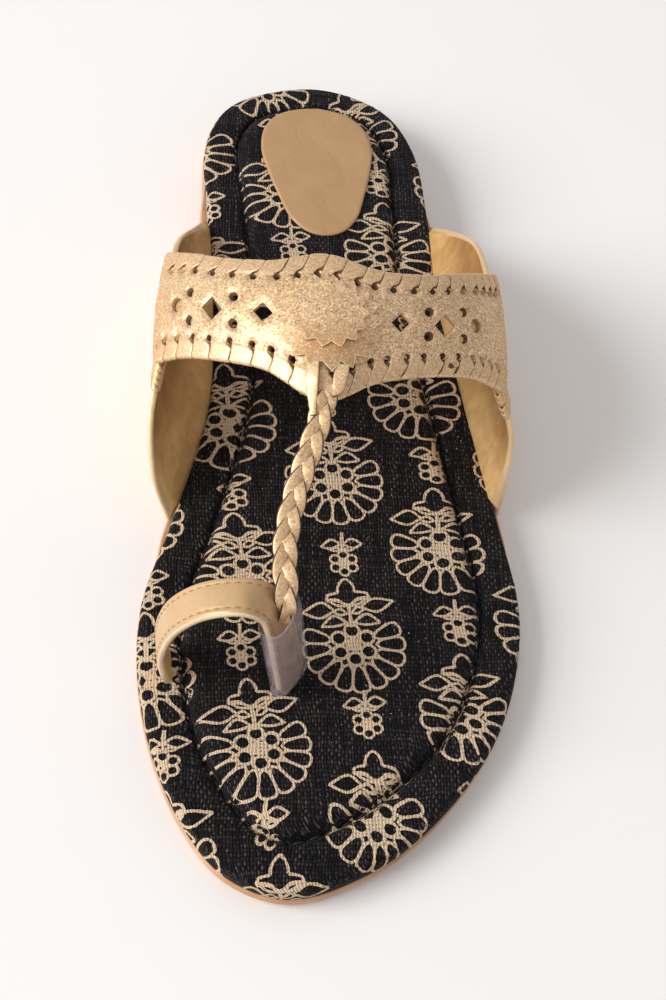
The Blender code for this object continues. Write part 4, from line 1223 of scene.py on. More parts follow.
def hole_ring(kind, radius, count=16):
    if kind.endswith("diamond"):
        corners = np.array([(radius, 0.0), (0.0, radius), (-radius, 0.0), (0.0, -radius), (radius, 0.0)])
        return resample(corners, count + 1)[:-1]
    return ring_line(0.0, 0.0, radius, count)[:-1]


def make_band(finishes, settings):
    """The instep band: leather with punched holes, whose edges are dished by the punch."""
    columns, rows = int(BAND_LENGTH / BAND_MESH), int(BAND_WIDTH / BAND_MESH)
    lengthwise, crosswise = np.linspace(0.0, BAND_LENGTH, columns), np.linspace(0.0, BAND_WIDTH, rows)
    u, v = np.meshgrid(lengthwise, crosswise, indexing="ij")
    spots = np.column_stack([u.ravel(), v.ravel()])
    holes = [(a * BAND_LENGTH, b * BAND_WIDTH, kind) for a, b, kind in PUNCHED_HOLES]
    for edge, inset in (("front", LACE_HOLE_INSET), ("rear", BAND_WIDTH - LACE_HOLE_INSET)):
        holes += [(a * BAND_LENGTH, inset, "lace hole") for a in LACE_HOLES[edge]]
    keep = np.ones(len(spots), bool)
    rings, edges, extra = [], [], []
    for a, b, kind in holes:
        radius = PUNCHES[kind]
        for spread in (0.0, 0.3, 0.7):
            ring = hole_ring(kind, radius + spread, 12 if kind == "lace hole" else 16) + (a, b)
            if spread == 0.0:
                rings.append(ring)
            else:
                extra.append(ring)
        offset = spots - (a, b)
        reach = np.abs(offset).sum(axis=1) if kind.endswith("diamond") else np.hypot(*offset.T)
        keep &= reach > radius + 0.95
    flat = [spots[keep]] + extra
    start = sum(map(len, flat))
    for ring in rings:
        count = len(ring)
        edges += [(start + k, start + (k + 1) % count) for k in range(count)]
        flat.append(ring)
        start += count
    flat = np.vstack(flat)
    inside = (flat[:, 0] > -1e-6) & (flat[:, 1] > -1e-6)
    inside &= (flat[:, 0] < BAND_LENGTH + 1e-6) & (flat[:, 1] < BAND_WIDTH + 1e-6)
    assert inside.all(), "a hole runs over the band's edge"
    found = delaunay_2d_cdt([Vector(spot) for spot in flat], edges, [], 0, 1e-4)
    flat = np.array([tuple(spot) for spot in found[0]])
    triangles = np.array([tuple(face) for face in found[2]])
    centres = flat[triangles].mean(axis=1)
    solid = np.ones(len(triangles), bool)
    dish = np.zeros(len(flat))
    for a, b, kind in holes:
        for target, spot in ((solid, centres), (None, flat)):
            offset = spot - (a, b)
            reach = np.abs(offset).sum(axis=1) if kind.endswith("diamond") else np.hypot(*offset.T)
            if target is None:
                past = np.clip(reach - PUNCHES[kind], 0.0, None)
                dish = np.maximum(dish, np.exp(-((past / 0.75) ** 2)))
            else:
                target &= reach > PUNCHES[kind] * (0.99 if kind.endswith("diamond") else 0.96)
    triangles = triangles[solid]
    share_u, share_v = flat[:, 0] / BAND_LENGTH, flat[:, 1] / BAND_WIDTH
    outer, normal = band_point(share_u, share_v)
    swell = 0.16 * ripple(np.column_stack([flat, np.zeros(len(flat))]), 7.0, 2.0)
    swell += 0.06 * ripple(np.column_stack([flat, np.zeros(len(flat))]), 2.6, 9.0)
    outer_points = outer + normal * (swell - settings.punch_dish * dish)[:, None]
    tapered = flat.copy()
    for a, b, kind in holes:
        if kind in ("hole", "lace hole"):
            offset = flat - (a, b)
            rim_of_hole = np.hypot(*offset.T) < PUNCHES[kind] + 0.05
            tapered[rim_of_hole] = (a, b) + offset[rim_of_hole] * HOLE_TAPER
    below, normal_below = band_point(tapered[:, 0] / BAND_LENGTH, tapered[:, 1] / BAND_WIDTH)
    inner_points = below - normal_below * (BAND_THICKNESS - 0.25 * dish)[:, None]
    count = len(flat)
    sides = np.sort(np.vstack([triangles[:, [0, 1]], triangles[:, [1, 2]], triangles[:, [2, 0]]]), axis=1)
    rim, times = np.unique(sides, axis=0, return_counts=True)
    rim = rim[times == 1]
    faces = [tuple(face) for face in triangles] + [tuple(face + count) for face in triangles[:, ::-1]]
    faces += [(a, b, b + count, a + count) for a, b in rim]
    from_edge = np.minimum(centres[solid][:, 1], BAND_WIDTH - centres[solid][:, 1])
    from_end = np.minimum(centres[solid][:, 0], BAND_LENGTH - centres[solid][:, 0])
    # Painted shade: the face under the lacing and the walls of the lace holes and small holes take the dark
    # brown shaded finish
    covered = (from_edge < LACE_HOLE_INSET - PUNCHES["lace hole"]) & (from_end > 0.9)
    rim_spots = flat[rim].mean(axis=1)
    off_front = np.abs(rim_spots[:, 1] - LACE_HOLE_INSET)
    off_rear = np.abs(BAND_WIDTH - LACE_HOLE_INSET - rim_spots[:, 1])
    in_row = np.minimum(off_front, off_rear) < 1.5 * PUNCHES["lace hole"]
    in_row &= np.abs(rim_spots[:, 0] / BAND_LENGTH - 0.48) < 0.37
    for a, b, kind in holes:
        if kind == "hole":
            in_row |= np.hypot(*(rim_spots - (a, b)).T) < PUNCHES[kind] + 0.3
    outside, lining, cut, shaded = range(len(finishes))
    lined = np.full(len(triangles), lining)
    kinds = np.r_[np.where(covered, shaded, outside), lined, np.where(in_row, shaded, cut)]
    points = np.vstack([outer_points, inner_points])
    return piece("instep_band", points, faces, finishes, "upper", ["upper"], kinds, 55.0, merge=False)


def make_wings(finishes):
    """The half-moons: crumpled gold outside, smooth gold lining inside, and a turned edge all round."""
    made = []
    outside, lining, turned_edge = range(len(finishes))
    lap = int(BAND_ROWS * BAND_OVERLAP)
    for name, rows in (
        ("wing_medial", slice(0, WING_ROWS + lap)),
        ("wing_lateral", slice(WING_ROWS + BAND_ROWS - 2 - lap, len(UPPER))),
    ):
        grid, normals = UPPER[rows], UPPER_NORMALS[rows]
        outer, inner, from_edge = rounded_shell(grid, normals, -0.05, -WALL)
        flat = grid.reshape(-1, 3)
        swell = (0.22 * ripple(flat, 9.0, 4.0) + 0.1 * ripple(flat, 3.2, 6.0)).reshape(grid.shape[:2])
        calm = smooth_step(from_edge / 5.0) * swell
        sunk = np.minimum(calm, 0.1)[..., None]
        outer, inner = outer + normals * sunk, inner + normals * calm[..., None] * 0.6
        above = grid[..., 2] - FOREFOOT_TOP - np.vectorize(rise)(grid[..., 1] - TOE_Y)
        foot = (1.0 - smooth_step(np.abs(above) / LINING_SWELL_END)) * smooth_step(from_edge / 3.0)
        inner = inner - normals * (LINING_SWELL * foot)[..., None]
        count, across = grid.shape[:2]
        points = np.vstack([outer.reshape(-1, 3), inner.reshape(-1, 3)])
        quads = grid_faces(count, across)
        faces = quads + [tuple(corner + count * across for corner in face) for face in quads]
        lines = np.stack([lengths_of(row) for row in grid])
        gap = np.minimum(lines, lines[:, -1:] - lines)
        turned = ((gap[:-1, :-1] + gap[1:, 1:]) / 2 < TURNED_EDGE).ravel()
        kinds = np.r_[np.where(turned, turned_edge, outside), np.where(turned, turned_edge, lining)]
        made.append(piece(name, points, faces, finishes, "upper", ["upper"], kinds, 50.0))
    return made


def lace_strip(surface, outward, holes, bounds, depth, lift, bend):
    """One flat lace: it fills the leather between two holes, lies over the edge and tucks in below.

    surface(along, inset, lift) gives a point over the leather, and outward(along) the way out past its edge.
    A larger bend keeps the slit straight out from the hole for longer.
    """
    across = np.sin(np.linspace(-math.pi / 2, math.pi / 2, 15))
    crown = (1.0 - np.abs(across) ** 8) ** 0.5
    radius = PUNCHES["lace hole"]
    passed = 1.0 - (radius + 0.15) / depth
    rings = []
    for share in (0.0, 0.06, 0.13, 0.2, 0.26, 0.34, 0.45, 0.56, 0.68, 0.8, 0.9, 1.0):
        spread = share**bend
        beside = radius * (1.0 - 2.0 * smooth_step((share - 0.12) / (1.12 - passed)))
        low = (holes[0] + radius) * (1 - spread) + bounds[0] * spread
        high = (holes[1] - beside) * (1 - spread) + bounds[1] * spread
        along = (low + high) / 2 + across * (high - low) / 2
        height = crown * lift * smooth_step((share + 0.02) / 0.3) - 0.08
        rings.append(surface(along, np.full(len(across), depth * (1.0 - share)), height))
    along = sum(bounds) / 2 + across * (bounds[1] - bounds[0]) / 2
    top = surface(along, np.zeros(len(across)), np.zeros(len(across)))
    out, up = outward(along)
    thick = BAND_THICKNESS / 2
    for turn in np.linspace(0.2, math.pi, 8):
        reach = thick + crown * lift - 0.08
        outwards = out * (reach * math.sin(turn))[:, None]
        rings.append(top - up * thick + outwards + up * (reach * math.cos(turn))[:, None])
    for inset, swell in ((0.8, 1.0), (LACE_TAIL, 0.0)):
        height = -BAND_THICKNESS - crown * lift * swell + 0.08
        rings.append(surface(along, np.full(len(across), inset), height))
    return np.array(rings)


def edge_of_band(edge):
    """The lacing's own measures at the band's front or rear edge: along it and inwards from it."""

    def surface(along, inset, lift):
        share = inset / BAND_WIDTH if edge == "front" else 1.0 - inset / BAND_WIDTH
        return band_point(along / BAND_LENGTH, share, lift)[0]

    def outward(along):
        share = along / BAND_LENGTH
        near, far = (0.0, 0.06) if edge == "front" else (1.0, 0.94)
        edge_point, normal = band_point(share, np.full(len(share), near))
        inner_point, _ = band_point(share, np.full(len(share), far))
        out = unit(edge_point - inner_point)
        return unit(out - normal * np.sum(out * normal, axis=1, keepdims=True)), normal

    return surface, outward


def corner_wraps(rows):
    """Short turns of the lace round a wing's front edge, just below the band's corner."""
    edge, inner = UPPER[rows, 0], UPPER[rows, 14]
    gone = lengths_of(edge)
    tubes = []
    for at in WRAP_STOPS:
        row = int(np.argmin(np.abs(gone - at)))
        inward = unit(inner[row] - edge[row])
        out = UPPER_NORMALS[rows][row, 3]
        run = unit(edge[row + 1] - edge[row])
        turn = np.radians(np.array((-8.0, 20.0, 55.0, 90.0, 125.0, 160.0, 188.0)))
        reach = np.array((3.1, 2.6, 0.4, 0.0, 0.4, 2.6, 3.1))
        centre = edge[row] - out * WALL / 2
        arc = []
        for angle, deep in zip(turn, reach):
            outwards = out * 1.3 * math.cos(angle)
            onwards = run * 0.9 * (angle / math.pi - 0.5)
            arc.append(centre + inward * (deep - 1.35 * math.sin(angle)) + outwards + onwards)
        path = resample(smooth_curve(arc, 6), 26)
        side, up = frames(path, np.tile(run, (len(path), 1)))
        tubes.append([strap_ring(c, s, t, WRAP_WIDTH, 0.75, 12, 0.6) for c, s, t in zip(path, side, up)])
    return tubes


def make_lacing(finish, settings):
    """Flat laces side by side over both edges of the band, parted by a hairline slit from each hole."""
    points, faces, start = [], [], 0
    chance = random.Random(5)
    for edge, slant in (("front", -settings.lace_slant), ("rear", LACE_REAR_LEAN * settings.lace_slant)):
        surface, outward = edge_of_band(edge)
        shares = np.r_[0.004, LACE_HOLES[edge], 0.996]
        holes = shares * BAND_LENGTH
        upright = smooth_step((shares - 0.74) / 0.1) if edge == "rear" else 0.0
        ends = np.clip(holes + slant * (1.0 - upright), 0.1, BAND_LENGTH - 0.1)
        ends[[0, -1]] = 0.1, BAND_LENGTH - 0.1
        for k in range(len(holes) - 1):
            if ends[k + 1] - ends[k] < 0.6:
                continue
            bounds = ends[k] + settings.lace_gap / 2, ends[k + 1] - settings.lace_gap / 2
            lift = settings.lace_lift * chance.uniform(0.75, 1.25)
            depth, bend = LACE_HOLE_INSET - 0.1, 1.5 if edge == "front" else 1.1
            strip = lace_strip(surface, outward, holes[k : k + 2], bounds, depth, lift, bend)
            rows, across = strip.shape[:2]
            points.append(strip.reshape(-1, 3))
            faces += grid_faces(rows, across, start)
            start += rows * across
    last = WING_ROWS - 1 + BAND_ROWS - 1
    wraps = corner_wraps(np.arange(WING_ROWS - 1, 0, -1)) + corner_wraps(np.arange(last, len(UPPER)))
    wrap_points, wrap_faces = many_tubes(wraps)
    points.append(wrap_points)
    faces += [tuple(start + corner for corner in face) for face in wrap_faces]
    return piece("edge_lacing", np.vstack(points), faces, [finish], "upper", merge=False, sharp=60.0)


def make_rosettes(finishes, settings):
    """Two pinked discs on the crown of the band, their teeth lifting a little."""
    made = []
    for name, radius, teeth, depth, lift, thickness, back in ROSETTE_LAYERS:
        around = teeth * 8
        turn = np.arange(around) * 2 * math.pi / around
        zigzag = np.abs((np.arange(around) / 8) % 1.0 - 0.5) * 2.0
        rings = []
        stops = np.r_[np.linspace(0.02, 0.8, 9), 0.86, 0.91, 0.95, 0.98, 1.0]
        section = [(share, 0.0) for share in stops] + [(1.0, 0.5)] + [(share, 1.0) for share in stops[::-1]]
        lean = 0.35 * np.sin(turn * 3 + radius)
        for share, level in section:
            reach = radius * share - depth * (1.0 - zigzag) * smooth_step((share - 0.55) / 0.4)
            if level == 0.5:
                reach = reach + 0.06
            curl = settings.tooth_curl * smooth_step((reach - 0.72 * radius) / (0.28 * radius)) * (1.0 + lean)
            height = lift + curl + thickness * (0.25 + 0.75 * level if share == 1.0 else level)
            height = height + 0.07 * np.sin(turn * 5 + 4 * share + radius) * share
            rings.append(off_rosette(reach * np.cos(turn), back + reach * np.sin(turn), height)[0])
        points, faces = np.vstack(rings), closed_tube(rings)
        first = (len(stops) - 1) * around
        # Painted highlight: the strip beside the rim takes the cream edge finish only where the teeth face
        # the front and the medial side, towards the key light
        lit = -0.5 * np.cos(turn) - np.sin(turn) > 0.35
        kinds = np.zeros(len(faces), int)
        kinds[first : first + 2 * around] = 1
        kinds[first + 2 * around : first + 3 * around] = lit
        made.append(piece(name + "_leather", points, faces, finishes, name, [name], kinds, 60.0))
    return made


# ---------------------------------------------------------------- plait, toe loop and sleeve


def thong_route(at_rosette, at_edge, end, end_side):
    """A thong's centre line with the direction of its width, from the rosette over the band's edge."""
    stops = []
    for share, reach, lift in ((0.0, 11.2, 0.5), (0.5, 14.2, 1.15), (1.0, 17.0, 1.2)):
        along_band = at_rosette + (at_edge - at_rosette) * share
        centre, right = (off_rosette(along_band + step, -reach, lift)[0] for step in (0.0, 1.0))
        stops.append(np.r_[centre, right - centre + (0.0, 0.0, THONG_TILT)])
    stops.append(np.r_[end, end_side + (0.0, 0.0, THONG_TILT)])
    route = resample(smooth_curve(stops, 10), 40)
    return route[:, :3], unit(route[:, 3:])


def make_plait(finishes, settings):
    """Three flat strands plaited together. Two of them come over the band's edge as thongs."""
    path = resample(smooth_curve(place(PLAIT_PATH), 16), 260)
    across, through = frames(path, np.tile([1.0, 0.0, 0.0], (len(path), 1)))
    lengths = lengths_of(path)
    total = lengths[-1]
    tubes = []
    narrow = 0.62 + 0.38 * smooth_step((total - lengths) / 9.0)
    sunk = 1.0 - smooth_step(lengths / 3.5)
    for strand in range(3):
        phase = 2 * math.pi * (lengths / (3 * LOBE_PITCH) + strand / 3) + settings.plait_phase
        swing = settings.strand_swing * np.sin(phase) * (1.0 - 0.25 * sunk)
        lift = settings.strand_lift * np.sin(2 * phase) - 0.9 * sunk
        centre = path + across * (swing * narrow)[:, None] + through * (lift * narrow)[:, None]
        side, up = frames(centre, across + through * (0.3 * np.cos(phase))[:, None])
        rings = [
            strap_ring(c, s, t, settings.strand_width * n, STRAND_THICKNESS * n, 16, STRAND_FLATNESS)
            for c, s, t, n in zip(centre, side, up, narrow)
        ]
        tubes.append(rings)
    for at_rosette, at_edge, down, beside, end_width in THONGS:
        stop = int(np.argmin(np.abs(lengths - down)))
        end = path[stop] + across[stop] * beside + through[stop] * 1.0
        route, widths = thong_route(at_rosette, at_edge, end, across[stop])
        side, up = frames(route, widths)
        share = np.linspace(0.0, 1.0, len(route))
        wide = THONG_WIDTH + (end_width - THONG_WIDTH) * smooth_step((share - 0.35) / 0.65)
        tubes.append([
            strap_ring(c, s, t, w, THONG_THICKNESS, 16, 0.35) for c, s, t, w in zip(route, side, up, wide)
        ])
    points, faces = many_tubes(tubes)
    # Painted shade: a wide band of each strand's side takes the dark cut-edge finish, darkening the crevices
    # between strands; the thongs get only a narrow edge
    corner = np.cos(2 * math.pi * (np.arange(16) + 0.5) / 16)
    kinds = []
    for rings in tubes:
        limit = 0.95 if len(rings) == 40 else 0.72
        kinds += [int(abs(corner[j]) > limit) for _ in range(len(rings) - 1) for j in range(16)] + [1, 1]
    return piece("plaited_strands", points, faces, finishes, "plait", ["plait"], kinds, 50.0, merge=False)


def loop_path(count):
    """The loop's centre line and the direction of its width at each point."""
    table = resample(smooth_curve(LOOP_PATH, 16), count)
    turn = np.radians(table[:, 3])
    widths = np.column_stack([np.sin(turn), np.cos(turn), np.zeros(count)])
    return place(table[:, :3]), widths


def loop_width(path):
    taper = smooth_step((path[:, 2] - FOREFOOT_TOP - 2.0) / 5.0)
    at_post = np.arange(len(path)) < len(path) // 2
    return np.where(at_post, POST_TIP_WIDTH + (LOOP_WIDTH - POST_TIP_WIDTH) * taper, LOOP_WIDTH)


def make_toe_loop(finishes):
    """The strap over the big toe: gold outside, its edges folded in and sewn, lining below."""
    path, widths = loop_path(200)
    across, through = frames(path, widths)
    width = loop_width(path)
    profile = (
        # share of the half-width, share of the half-thickness, the outside up
        (0.0, 1.0), (0.45, 0.97), (0.62, 0.9), (0.68, 0.84), (0.74, 0.9), (0.86, 0.98), (0.95, 0.8),
        (1.0, 0.35), (1.0, -0.3), (0.95, -0.8), (0.86, -0.96), (0.5, -1.0), (0.0, -1.0),
    )
    half = np.array(profile)
    ring = np.vstack([half, half[-2:0:-1] * (-1.0, 1.0)])
    rings = []
    for point, side, up, wide in zip(path, across, through, width):
        x = ring[:, 0] * wide / 2
        z = ring[:, 1] * LOOP_THICKNESS / 2
        rings.append(point + side * x[:, None] - up * z[:, None])
    size = len(ring)
    faces = closed_tube(rings)
    outside, lining, folded = range(len(finishes))
    kinds = []
    for _ in range(len(rings) - 1):
        for j in range(size):
            level = (ring[j, 1] + ring[(j + 1) % size, 1]) / 2
            out = (abs(ring[j, 0]) + abs(ring[(j + 1) % size, 0])) / 2
            kinds.append(lining if level < -0.5 else folded if out > 0.92 else outside)
    kinds += [folded, folded]
    points = np.vstack(rings)
    return piece("toe_loop_strap", points, faces, finishes, "toe_loop", ["toe_loop"], kinds, 50.0)


def make_loop_stitches(finish, settings):
    path, widths = loop_path(200)
    across, through = frames(path, widths)
    keep = path[:, 2] > FOREFOOT_TOP + 0.5
    wide = loop_width(path)
    tubes = []
    for sign in (-1.0, 1.0):
        line = path + across * (sign * 0.68 * wide / 2)[:, None] - through * (LOOP_THICKNESS / 2 * 0.86)
        tubes += stitches(line[keep], -through[keep], 1.7, settings.loop_stitch, 0.14, 0.1)
    points, faces = many_tubes(tubes)
    return piece("toe_loop_stitches", points, faces, [finish], "toe_loop")


def make_sleeve(finish):
    """A clear sleeve round the upright part of the strap, open at both ends and wider at its mouth."""
    path, widths = loop_path(360)
    up = path[:, 2] - FOREFOOT_TOP
    upright = (up > SLEEVE_FOOT) & (up < SLEEVE_HEAD) & (np.arange(len(path)) < len(path) // 2)
    path, widths = path[upright], widths[upright]
    across, through = frames(path, widths)
    share = np.linspace(0.0, 1.0, len(path))
    turn = np.linspace(0.0, 2 * math.pi, 56, endpoint=False)
    c, s = np.cos(turn), np.sin(turn)
    shells = []
    for wall in (0.0, SLEEVE_WALL):
        shell = []
        for point, side, deep, at in zip(path, across, through, share):
            depth = SLEEVE_DEPTH + (SLEEVE_MOUTH_DEPTH - SLEEVE_DEPTH) * at**2
            x = (SLEEVE_WIDTH / 2 - wall) * np.sign(c) * np.abs(c) ** 0.8
            z = (depth / 2 - wall) * np.sign(s) * np.abs(s) ** 0.6 - (depth - SLEEVE_DEPTH) / 2
            shell.append(point + side * x[:, None] + deep * z[:, None])
        shells += shell if wall == 0.0 else shell[::-1]
    rings = np.array(shells + [shells[0]])
    faces = tube_faces(len(rings), rings.shape[1])
    points = rings.reshape(-1, 3)
    return piece("post_sleeve_vinyl", points, faces, [finish], "post_sleeve", ["post_sleeve"], sharp=50.0)


# ---------------------------------------------------------------- stage

# Place and aim in the frame's millimetres, how far the camera leans anticlockwise, and its lens
CAMERA_PLACE, CAMERA_AIM = (-60.82, -295.52, 400.07), (-0.12, -27.23, 20.0)
CAMERA_LEAN, CAMERA_LENS = 12.01, 68.0
FLOOR_HALF = 3.0  # half the floor's side, in metres
LIGHTS = (
    # name, place in metres, side of the lamp in metres, watts
    ("key_window", (-2.4, -0.45, 1.4), 1.7, 88.0),
    ("fill_front", (-0.2, -1.4, 0.9), 1.2, 1.5),
    ("top_soft", (0.0, 0.5, 1.6), 1.2, 2.0),
)


def make_camera():
    """The camera stands beyond the toe and looks down over the sandal towards the heel."""
    data = bpy.data.cameras.new("studio_camera")
    camera = bpy.data.objects.new("studio_camera", data)
    bpy.context.scene.collection.objects.link(camera)
    ahead = Vector(CAMERA_AIM) - Vector(CAMERA_PLACE)
    level = ahead.to_track_quat("-Z", "Y").to_matrix().to_4x4()
    lean = Matrix.Rotation(math.radians(CAMERA_LEAN), 4, "Z")
    camera.matrix_world = Matrix.Translation(Vector(CAMERA_PLACE) * MM) @ level @ lean
    data.sensor_width, data.sensor_fit = 36.0, "AUTO"
    data.lens = CAMERA_LENS
    data.clip_start, data.clip_end = 0.01, 20.0
    bpy.context.scene.camera = camera


def make_lights():
    """A large window from the medial side, with a little light from the front and above."""
    world = bpy.data.worlds.new("studio_light")
    world.use_nodes = True
    sky = world.node_tree.nodes["Background"]
    sky.inputs["Color"].default_value = linear("#fbf9f8")
    sky.inputs["Strength"].default_value = 0.5
    bpy.context.scene.world = world
    bpy.context.scene.view_settings.view_transform = "Standard"
    for name, spot, size, power in LIGHTS:
        data = bpy.data.lights.new(name, "AREA")
        data.energy, data.size = power, size
        light = bpy.data.objects.new(name, data)
        light.location = spot
        light.rotation_euler = (-Vector(spot)).to_track_quat("-Z", "Y").to_euler()
        bpy.context.scene.collection.objects.link(light)


def make_floor(colours):
    # Smooth painted paper sweep: matt and almost white
    made, tree, shader, where = start_finish("painted_studio_floor", Roughness=0.7, Specular_IOR_Level=0.3)
    cloud = add(tree, "TexNoise", {"Vector": where, "Scale": per(300.0), "Detail": 2.0})
    mixed = {"Factor_Float": cloud.outputs["Fac"], "B_Color": linear("#eeebe9")}
    mixed["A_Color"] = (*colours.floor, 1.0)
    base = add(tree, "Mix", mixed, data_type="RGBA").outputs[2]
    tree.links.new(base, shader.inputs["Base Color"])
    mesh = bpy.data.meshes.new("studio_floor")
    half = FLOOR_HALF
    corners = [(-half, -half, 0), (half, -half, 0), (half, half, 0), (-half, half, 0)]
    mesh.from_pydata(corners, [], [(0, 1, 2, 3)])
    mesh.materials.append(made)
    floor = bpy.data.objects.new("studio_floor", mesh)
    bpy.context.scene.collection.objects.link(floor)
    floor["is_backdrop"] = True


# ---------------------------------------------------------------- settings


def colour_setting(name, code, description):
    shown = {"name": name, "description": description, "subtype": "COLOR", "size": 3}
    return bpy.props.FloatVectorProperty(**shown, min=0.0, max=1.0, default=linear(code)[:3])


def size_setting(name, default, description):
    """A size in millimetres."""
    return bpy.props.FloatProperty(name=name, description=description, default=default, min=0.0, precision=2)


class SandalSizes(bpy.types.PropertyGroup):
    thread_pitch: size_setting("Thread spacing", 1.0, "Spacing of the cloth's threads, in mm")
    pad_crown: size_setting("Pad crown", 0.22, "How far the pad's middle stands above its sewn edge, in mm")
    groove_stitch: size_setting("Groove stitch", 4.2, "Stitch spacing in the footbed's groove, in mm")
    line_width: size_setting("Print line", 0.68, "Width of the block print's finer lines, in mm")
    print_lift: size_setting("Print lift", 0.07, "How far the pigment stands off the cloth, in mm")
    punch_dish: size_setting("Punch dish", 0.5, "How far the leather dips round a punched hole, in mm")
    lace_gap: size_setting("Lace gap", 0.12, "Slit between neighbouring edge laces, in mm")
    lace_lift: size_setting("Lace lift", 0.24, "How far an edge lace stands off the band, in mm")
    lace_slant: size_setting("Lace slant", 0.8, "How far an edge lace leans along the band, in mm")
    tooth_curl: size_setting("Tooth curl", 0.2, "How far the rosette's teeth lift, in mm")
    strand_width: size_setting("Strand width", 3.1, "Width of each plaited strand, in mm")
    strand_swing: size_setting("Strand swing", 1.45, "How far a strand swings to each side, in mm")
    strand_lift: size_setting("Strand lift", 0.62, "How far a strand rises over its neighbours, in mm")
    plait_phase: size_setting("Plait start", 0.4, "Where in its weave the plait starts, in radians")
    loop_stitch: size_setting("Loop stitch", 2.4, "Stitch spacing along the toe loop, in mm")


class SandalColours(bpy.types.PropertyGroup):
    cloth: colour_setting("Cloth", "#080606", "The footbed's black cotton")
    ink: colour_setting("Print", "#d0b79a", "The block print's cream pigment")
    gold: colour_setting("Foiled leather", "#debb91", "The upper's pale gold leather")
    lining: colour_setting("Lining", "#e9bf82", "The wings' smooth gold lining")
    sole: colour_setting("Sole leather", "#dbab80", "The tan outsole and heel")
    badge: colour_setting("Badge leather", "#bf996f", "The heel badge")
    vinyl: colour_setting("Sleeve tint", "#b8abb6", "The clear sleeve round the post")
    floor: colour_setting("Floor", "#f8f6f4", "The studio floor")


def gold_leather(colours):
    # Sheep leather under pale gold foil: grit of dark pits and painted glints, smooth where it bends down and
    # darkened there by painted shade
    name = "foiled_sheep_leather"
    return bpy.data.materials.get(name) or foiled_leather(name, colours.gold)


def rosette_leather(colours):
    # The same foil on the pinked discs, whose front teeth are stretched smooth over the band's edge and
    # darkened there by painted shade
    name, front_teeth = "foiled_leather_pinked", ("Y", -8.5, -14.5)
    made = bpy.data.materials.get(name)
    return made or foiled_leather(name, colours.gold, 0.9, front_teeth, (0.74, 0.62, 0.5))


def lacing_leather(colours):
    # The same leather cut thin and drawn tight as lacing and plait: flatter, with less grit
    name = "foiled_leather_lacing"
    return bpy.data.materials.get(name) or foiled_leather(name, colours.gold, 0.55)


def pale_edge(colours):
    # Foiled leather turned over at an edge: paler than the leather beside it
    name, gold = "foiled_leather_turned_edge", colours.gold
    tints = of_linear(gold, (1.22, 1.3, 1.4)), of_linear(gold, (0.9, 0.86, 0.8))
    return bpy.data.materials.get(name) or satin_lining(name, *tints, 0.42, 0.25)


def strap_leather(colours):
    # Smooth gold-foiled strap: fine even grain, satin, uncracked
    name, gold = "foiled_leather_strap", colours.gold
    tints = of_linear(gold, (0.86, 0.85, 0.83)), of_linear(gold, (0.74, 0.68, 0.58))
    return bpy.data.materials.get(name) or satin_lining(name, *tints, 0.4, 0.3)


def lining_leather(colours):
    # Smooth yellow-gold lining: brighter and more metallic than the outside, brushed up its height
    name = "brushed_gold_lining"
    return bpy.data.materials.get(name) or brushed_lining(name, colours.lining)


# ---------------------------------------------------------------- operators


class MakeSole(bpy.types.Operator):
    """Outsole, stacked heel, footbed, groove stitches, print and heel badge"""

    bl_idname = "sandal.make_sole"
    bl_label = "Sole and footbed"

    def execute(self, context):
        sizes, colours = context.scene.sandal_sizes, context.scene.sandal_colours
        tan = sole_leather("veg_tanned_buffalo_sole", of_linear(colours.sole), linear("#8f5a2c"))
        edge = sole_leather("veg_tanned_outsole_edge", linear("#d8b090"), linear("#a97445"))
        tints = of_linear(colours.badge), linear("#b48e62")
        badge = satin_lining("drum_dyed_badge_leather", *tints, 0.5, 0.15)
        make_outsole(edge)
        make_heel_lift(tan)
        points, faces = make_footbed(woven_cotton(colours, sizes.thread_pitch), sizes)
        make_groove_stitches(waxed_thread("waxed_black_thread", linear("#1b1819")), sizes)
        make_print(Cloth(points, faces), print_ink(colours, sizes.thread_pitch), sizes)
        make_heel_badge(badge)
        return {"FINISHED"}


class MakeUpper(bpy.types.Operator):
    """Instep band, wings, edge lacing and rosette"""

    bl_idname = "sandal.make_upper"
    bl_label = "Band, wings and rosette"

    def execute(self, context):
        sizes, colours = context.scene.sandal_sizes, context.scene.sandal_colours
        gold, lining = gold_leather(colours), lining_leather(colours)
        cut_edge = sole_leather("raw_cut_leather_edge", linear("#d9bd94"), linear("#a9824f"))
        # Painted shade: dark brown under the lacing and on the walls of the lace holes and small holes
        shaded = sole_leather("painted_shade_below_lacing_and_in_holes", linear("#7a5635"), linear("#4a321d"))
        make_band([gold, lining, cut_edge, shaded], sizes)
        make_wings([gold, lining, pale_edge(colours)])
        make_lacing(lacing_leather(colours), sizes)
        # The discs' cream cut edge, also laid as a painted highlight on the strip beside the rim that faces
        # the key light
        fibres = satin_lining("cream_cut_edge_and_painted_highlight", linear("#eed6b0"), linear("#cfae80"), 0.5, 0.1)
        make_rosettes([rosette_leather(colours), fibres], sizes)
        return {"FINISHED"}


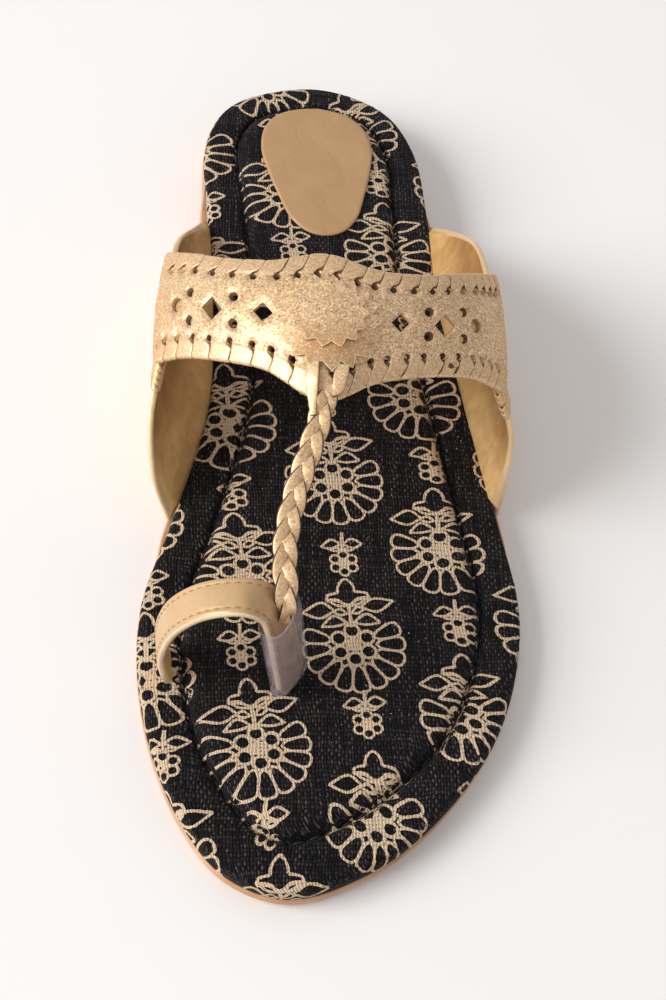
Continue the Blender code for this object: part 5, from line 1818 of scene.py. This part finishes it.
class MakePlaitAndLoop(bpy.types.Operator):
    """Plait with its thongs, toe loop with its stitches, and the clear sleeve"""

    bl_idname = "sandal.make_plait_and_loop"
    bl_label = "Plait, toe loop and sleeve"

    def execute(self, context):
        sizes, colours = context.scene.sandal_sizes, context.scene.sandal_colours
        gold, lining = lacing_leather(colours), lining_leather(colours)
        folded = satin_lining("folded_gold_edge", linear("#f0dfc4"), linear("#d9bf98"), 0.4, 0.2)
        # Raw cut edge of the strands, darkened further as painted shade for the crevices between them
        edge = sole_leather("strand_cut_edge_and_painted_crevice_shade", linear("#62442a"), linear("#3f2b1a"))
        make_plait([gold, edge], sizes)
        make_toe_loop([strap_leather(colours), lining, folded])
        make_loop_stitches(waxed_thread("waxed_tan_thread", linear("#b08e64")), sizes)
        make_sleeve(clear_vinyl(colours))
        return {"FINISHED"}


class MakeStudio(bpy.types.Operator):
    """Floor, lights and camera"""

    bl_idname = "sandal.make_studio"
    bl_label = "Studio"

    def execute(self, context):
        make_floor(context.scene.sandal_colours)
        make_lights()
        make_camera()
        return {"FINISHED"}


OPERATORS = (MakeSole, MakeUpper, MakePlaitAndLoop, MakeStudio)


class SandalPanel(bpy.types.Panel):
    """Lists the sandal's settings and the steps that make it"""

    bl_idname = "VIEW3D_PT_sandal"
    bl_label = "Kolhapuri Sandal"
    bl_space_type = "VIEW_3D"
    bl_region_type = "UI"
    bl_category = "Sandal"

    def draw(self, context):
        for group in (context.scene.sandal_sizes, context.scene.sandal_colours):
            column = self.layout.column()
            for name in group.__annotations__:
                column.prop(group, name)
        for operator in OPERATORS:
            self.layout.operator(operator.bl_idname)


CLASSES = (SandalSizes, SandalColours, *OPERATORS, SandalPanel)


def register():
    for made in CLASSES:
        bpy.utils.register_class(made)
    bpy.types.Scene.sandal_sizes = bpy.props.PointerProperty(type=SandalSizes)
    bpy.types.Scene.sandal_colours = bpy.props.PointerProperty(type=SandalColours)


def unregister():
    del bpy.types.Scene.sandal_sizes, bpy.types.Scene.sandal_colours
    for made in reversed(CLASSES):
        bpy.utils.unregister_class(made)


def main():
    register()
    bpy.ops.sandal.make_sole()
    bpy.ops.sandal.make_upper()
    bpy.ops.sandal.make_plait_and_loop()
    bpy.ops.sandal.make_studio()
    boxes = [[list(map(float, corner)) for corner in box] for box in (CAD_BOX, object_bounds())]


if __name__ == "__main__":
    main()
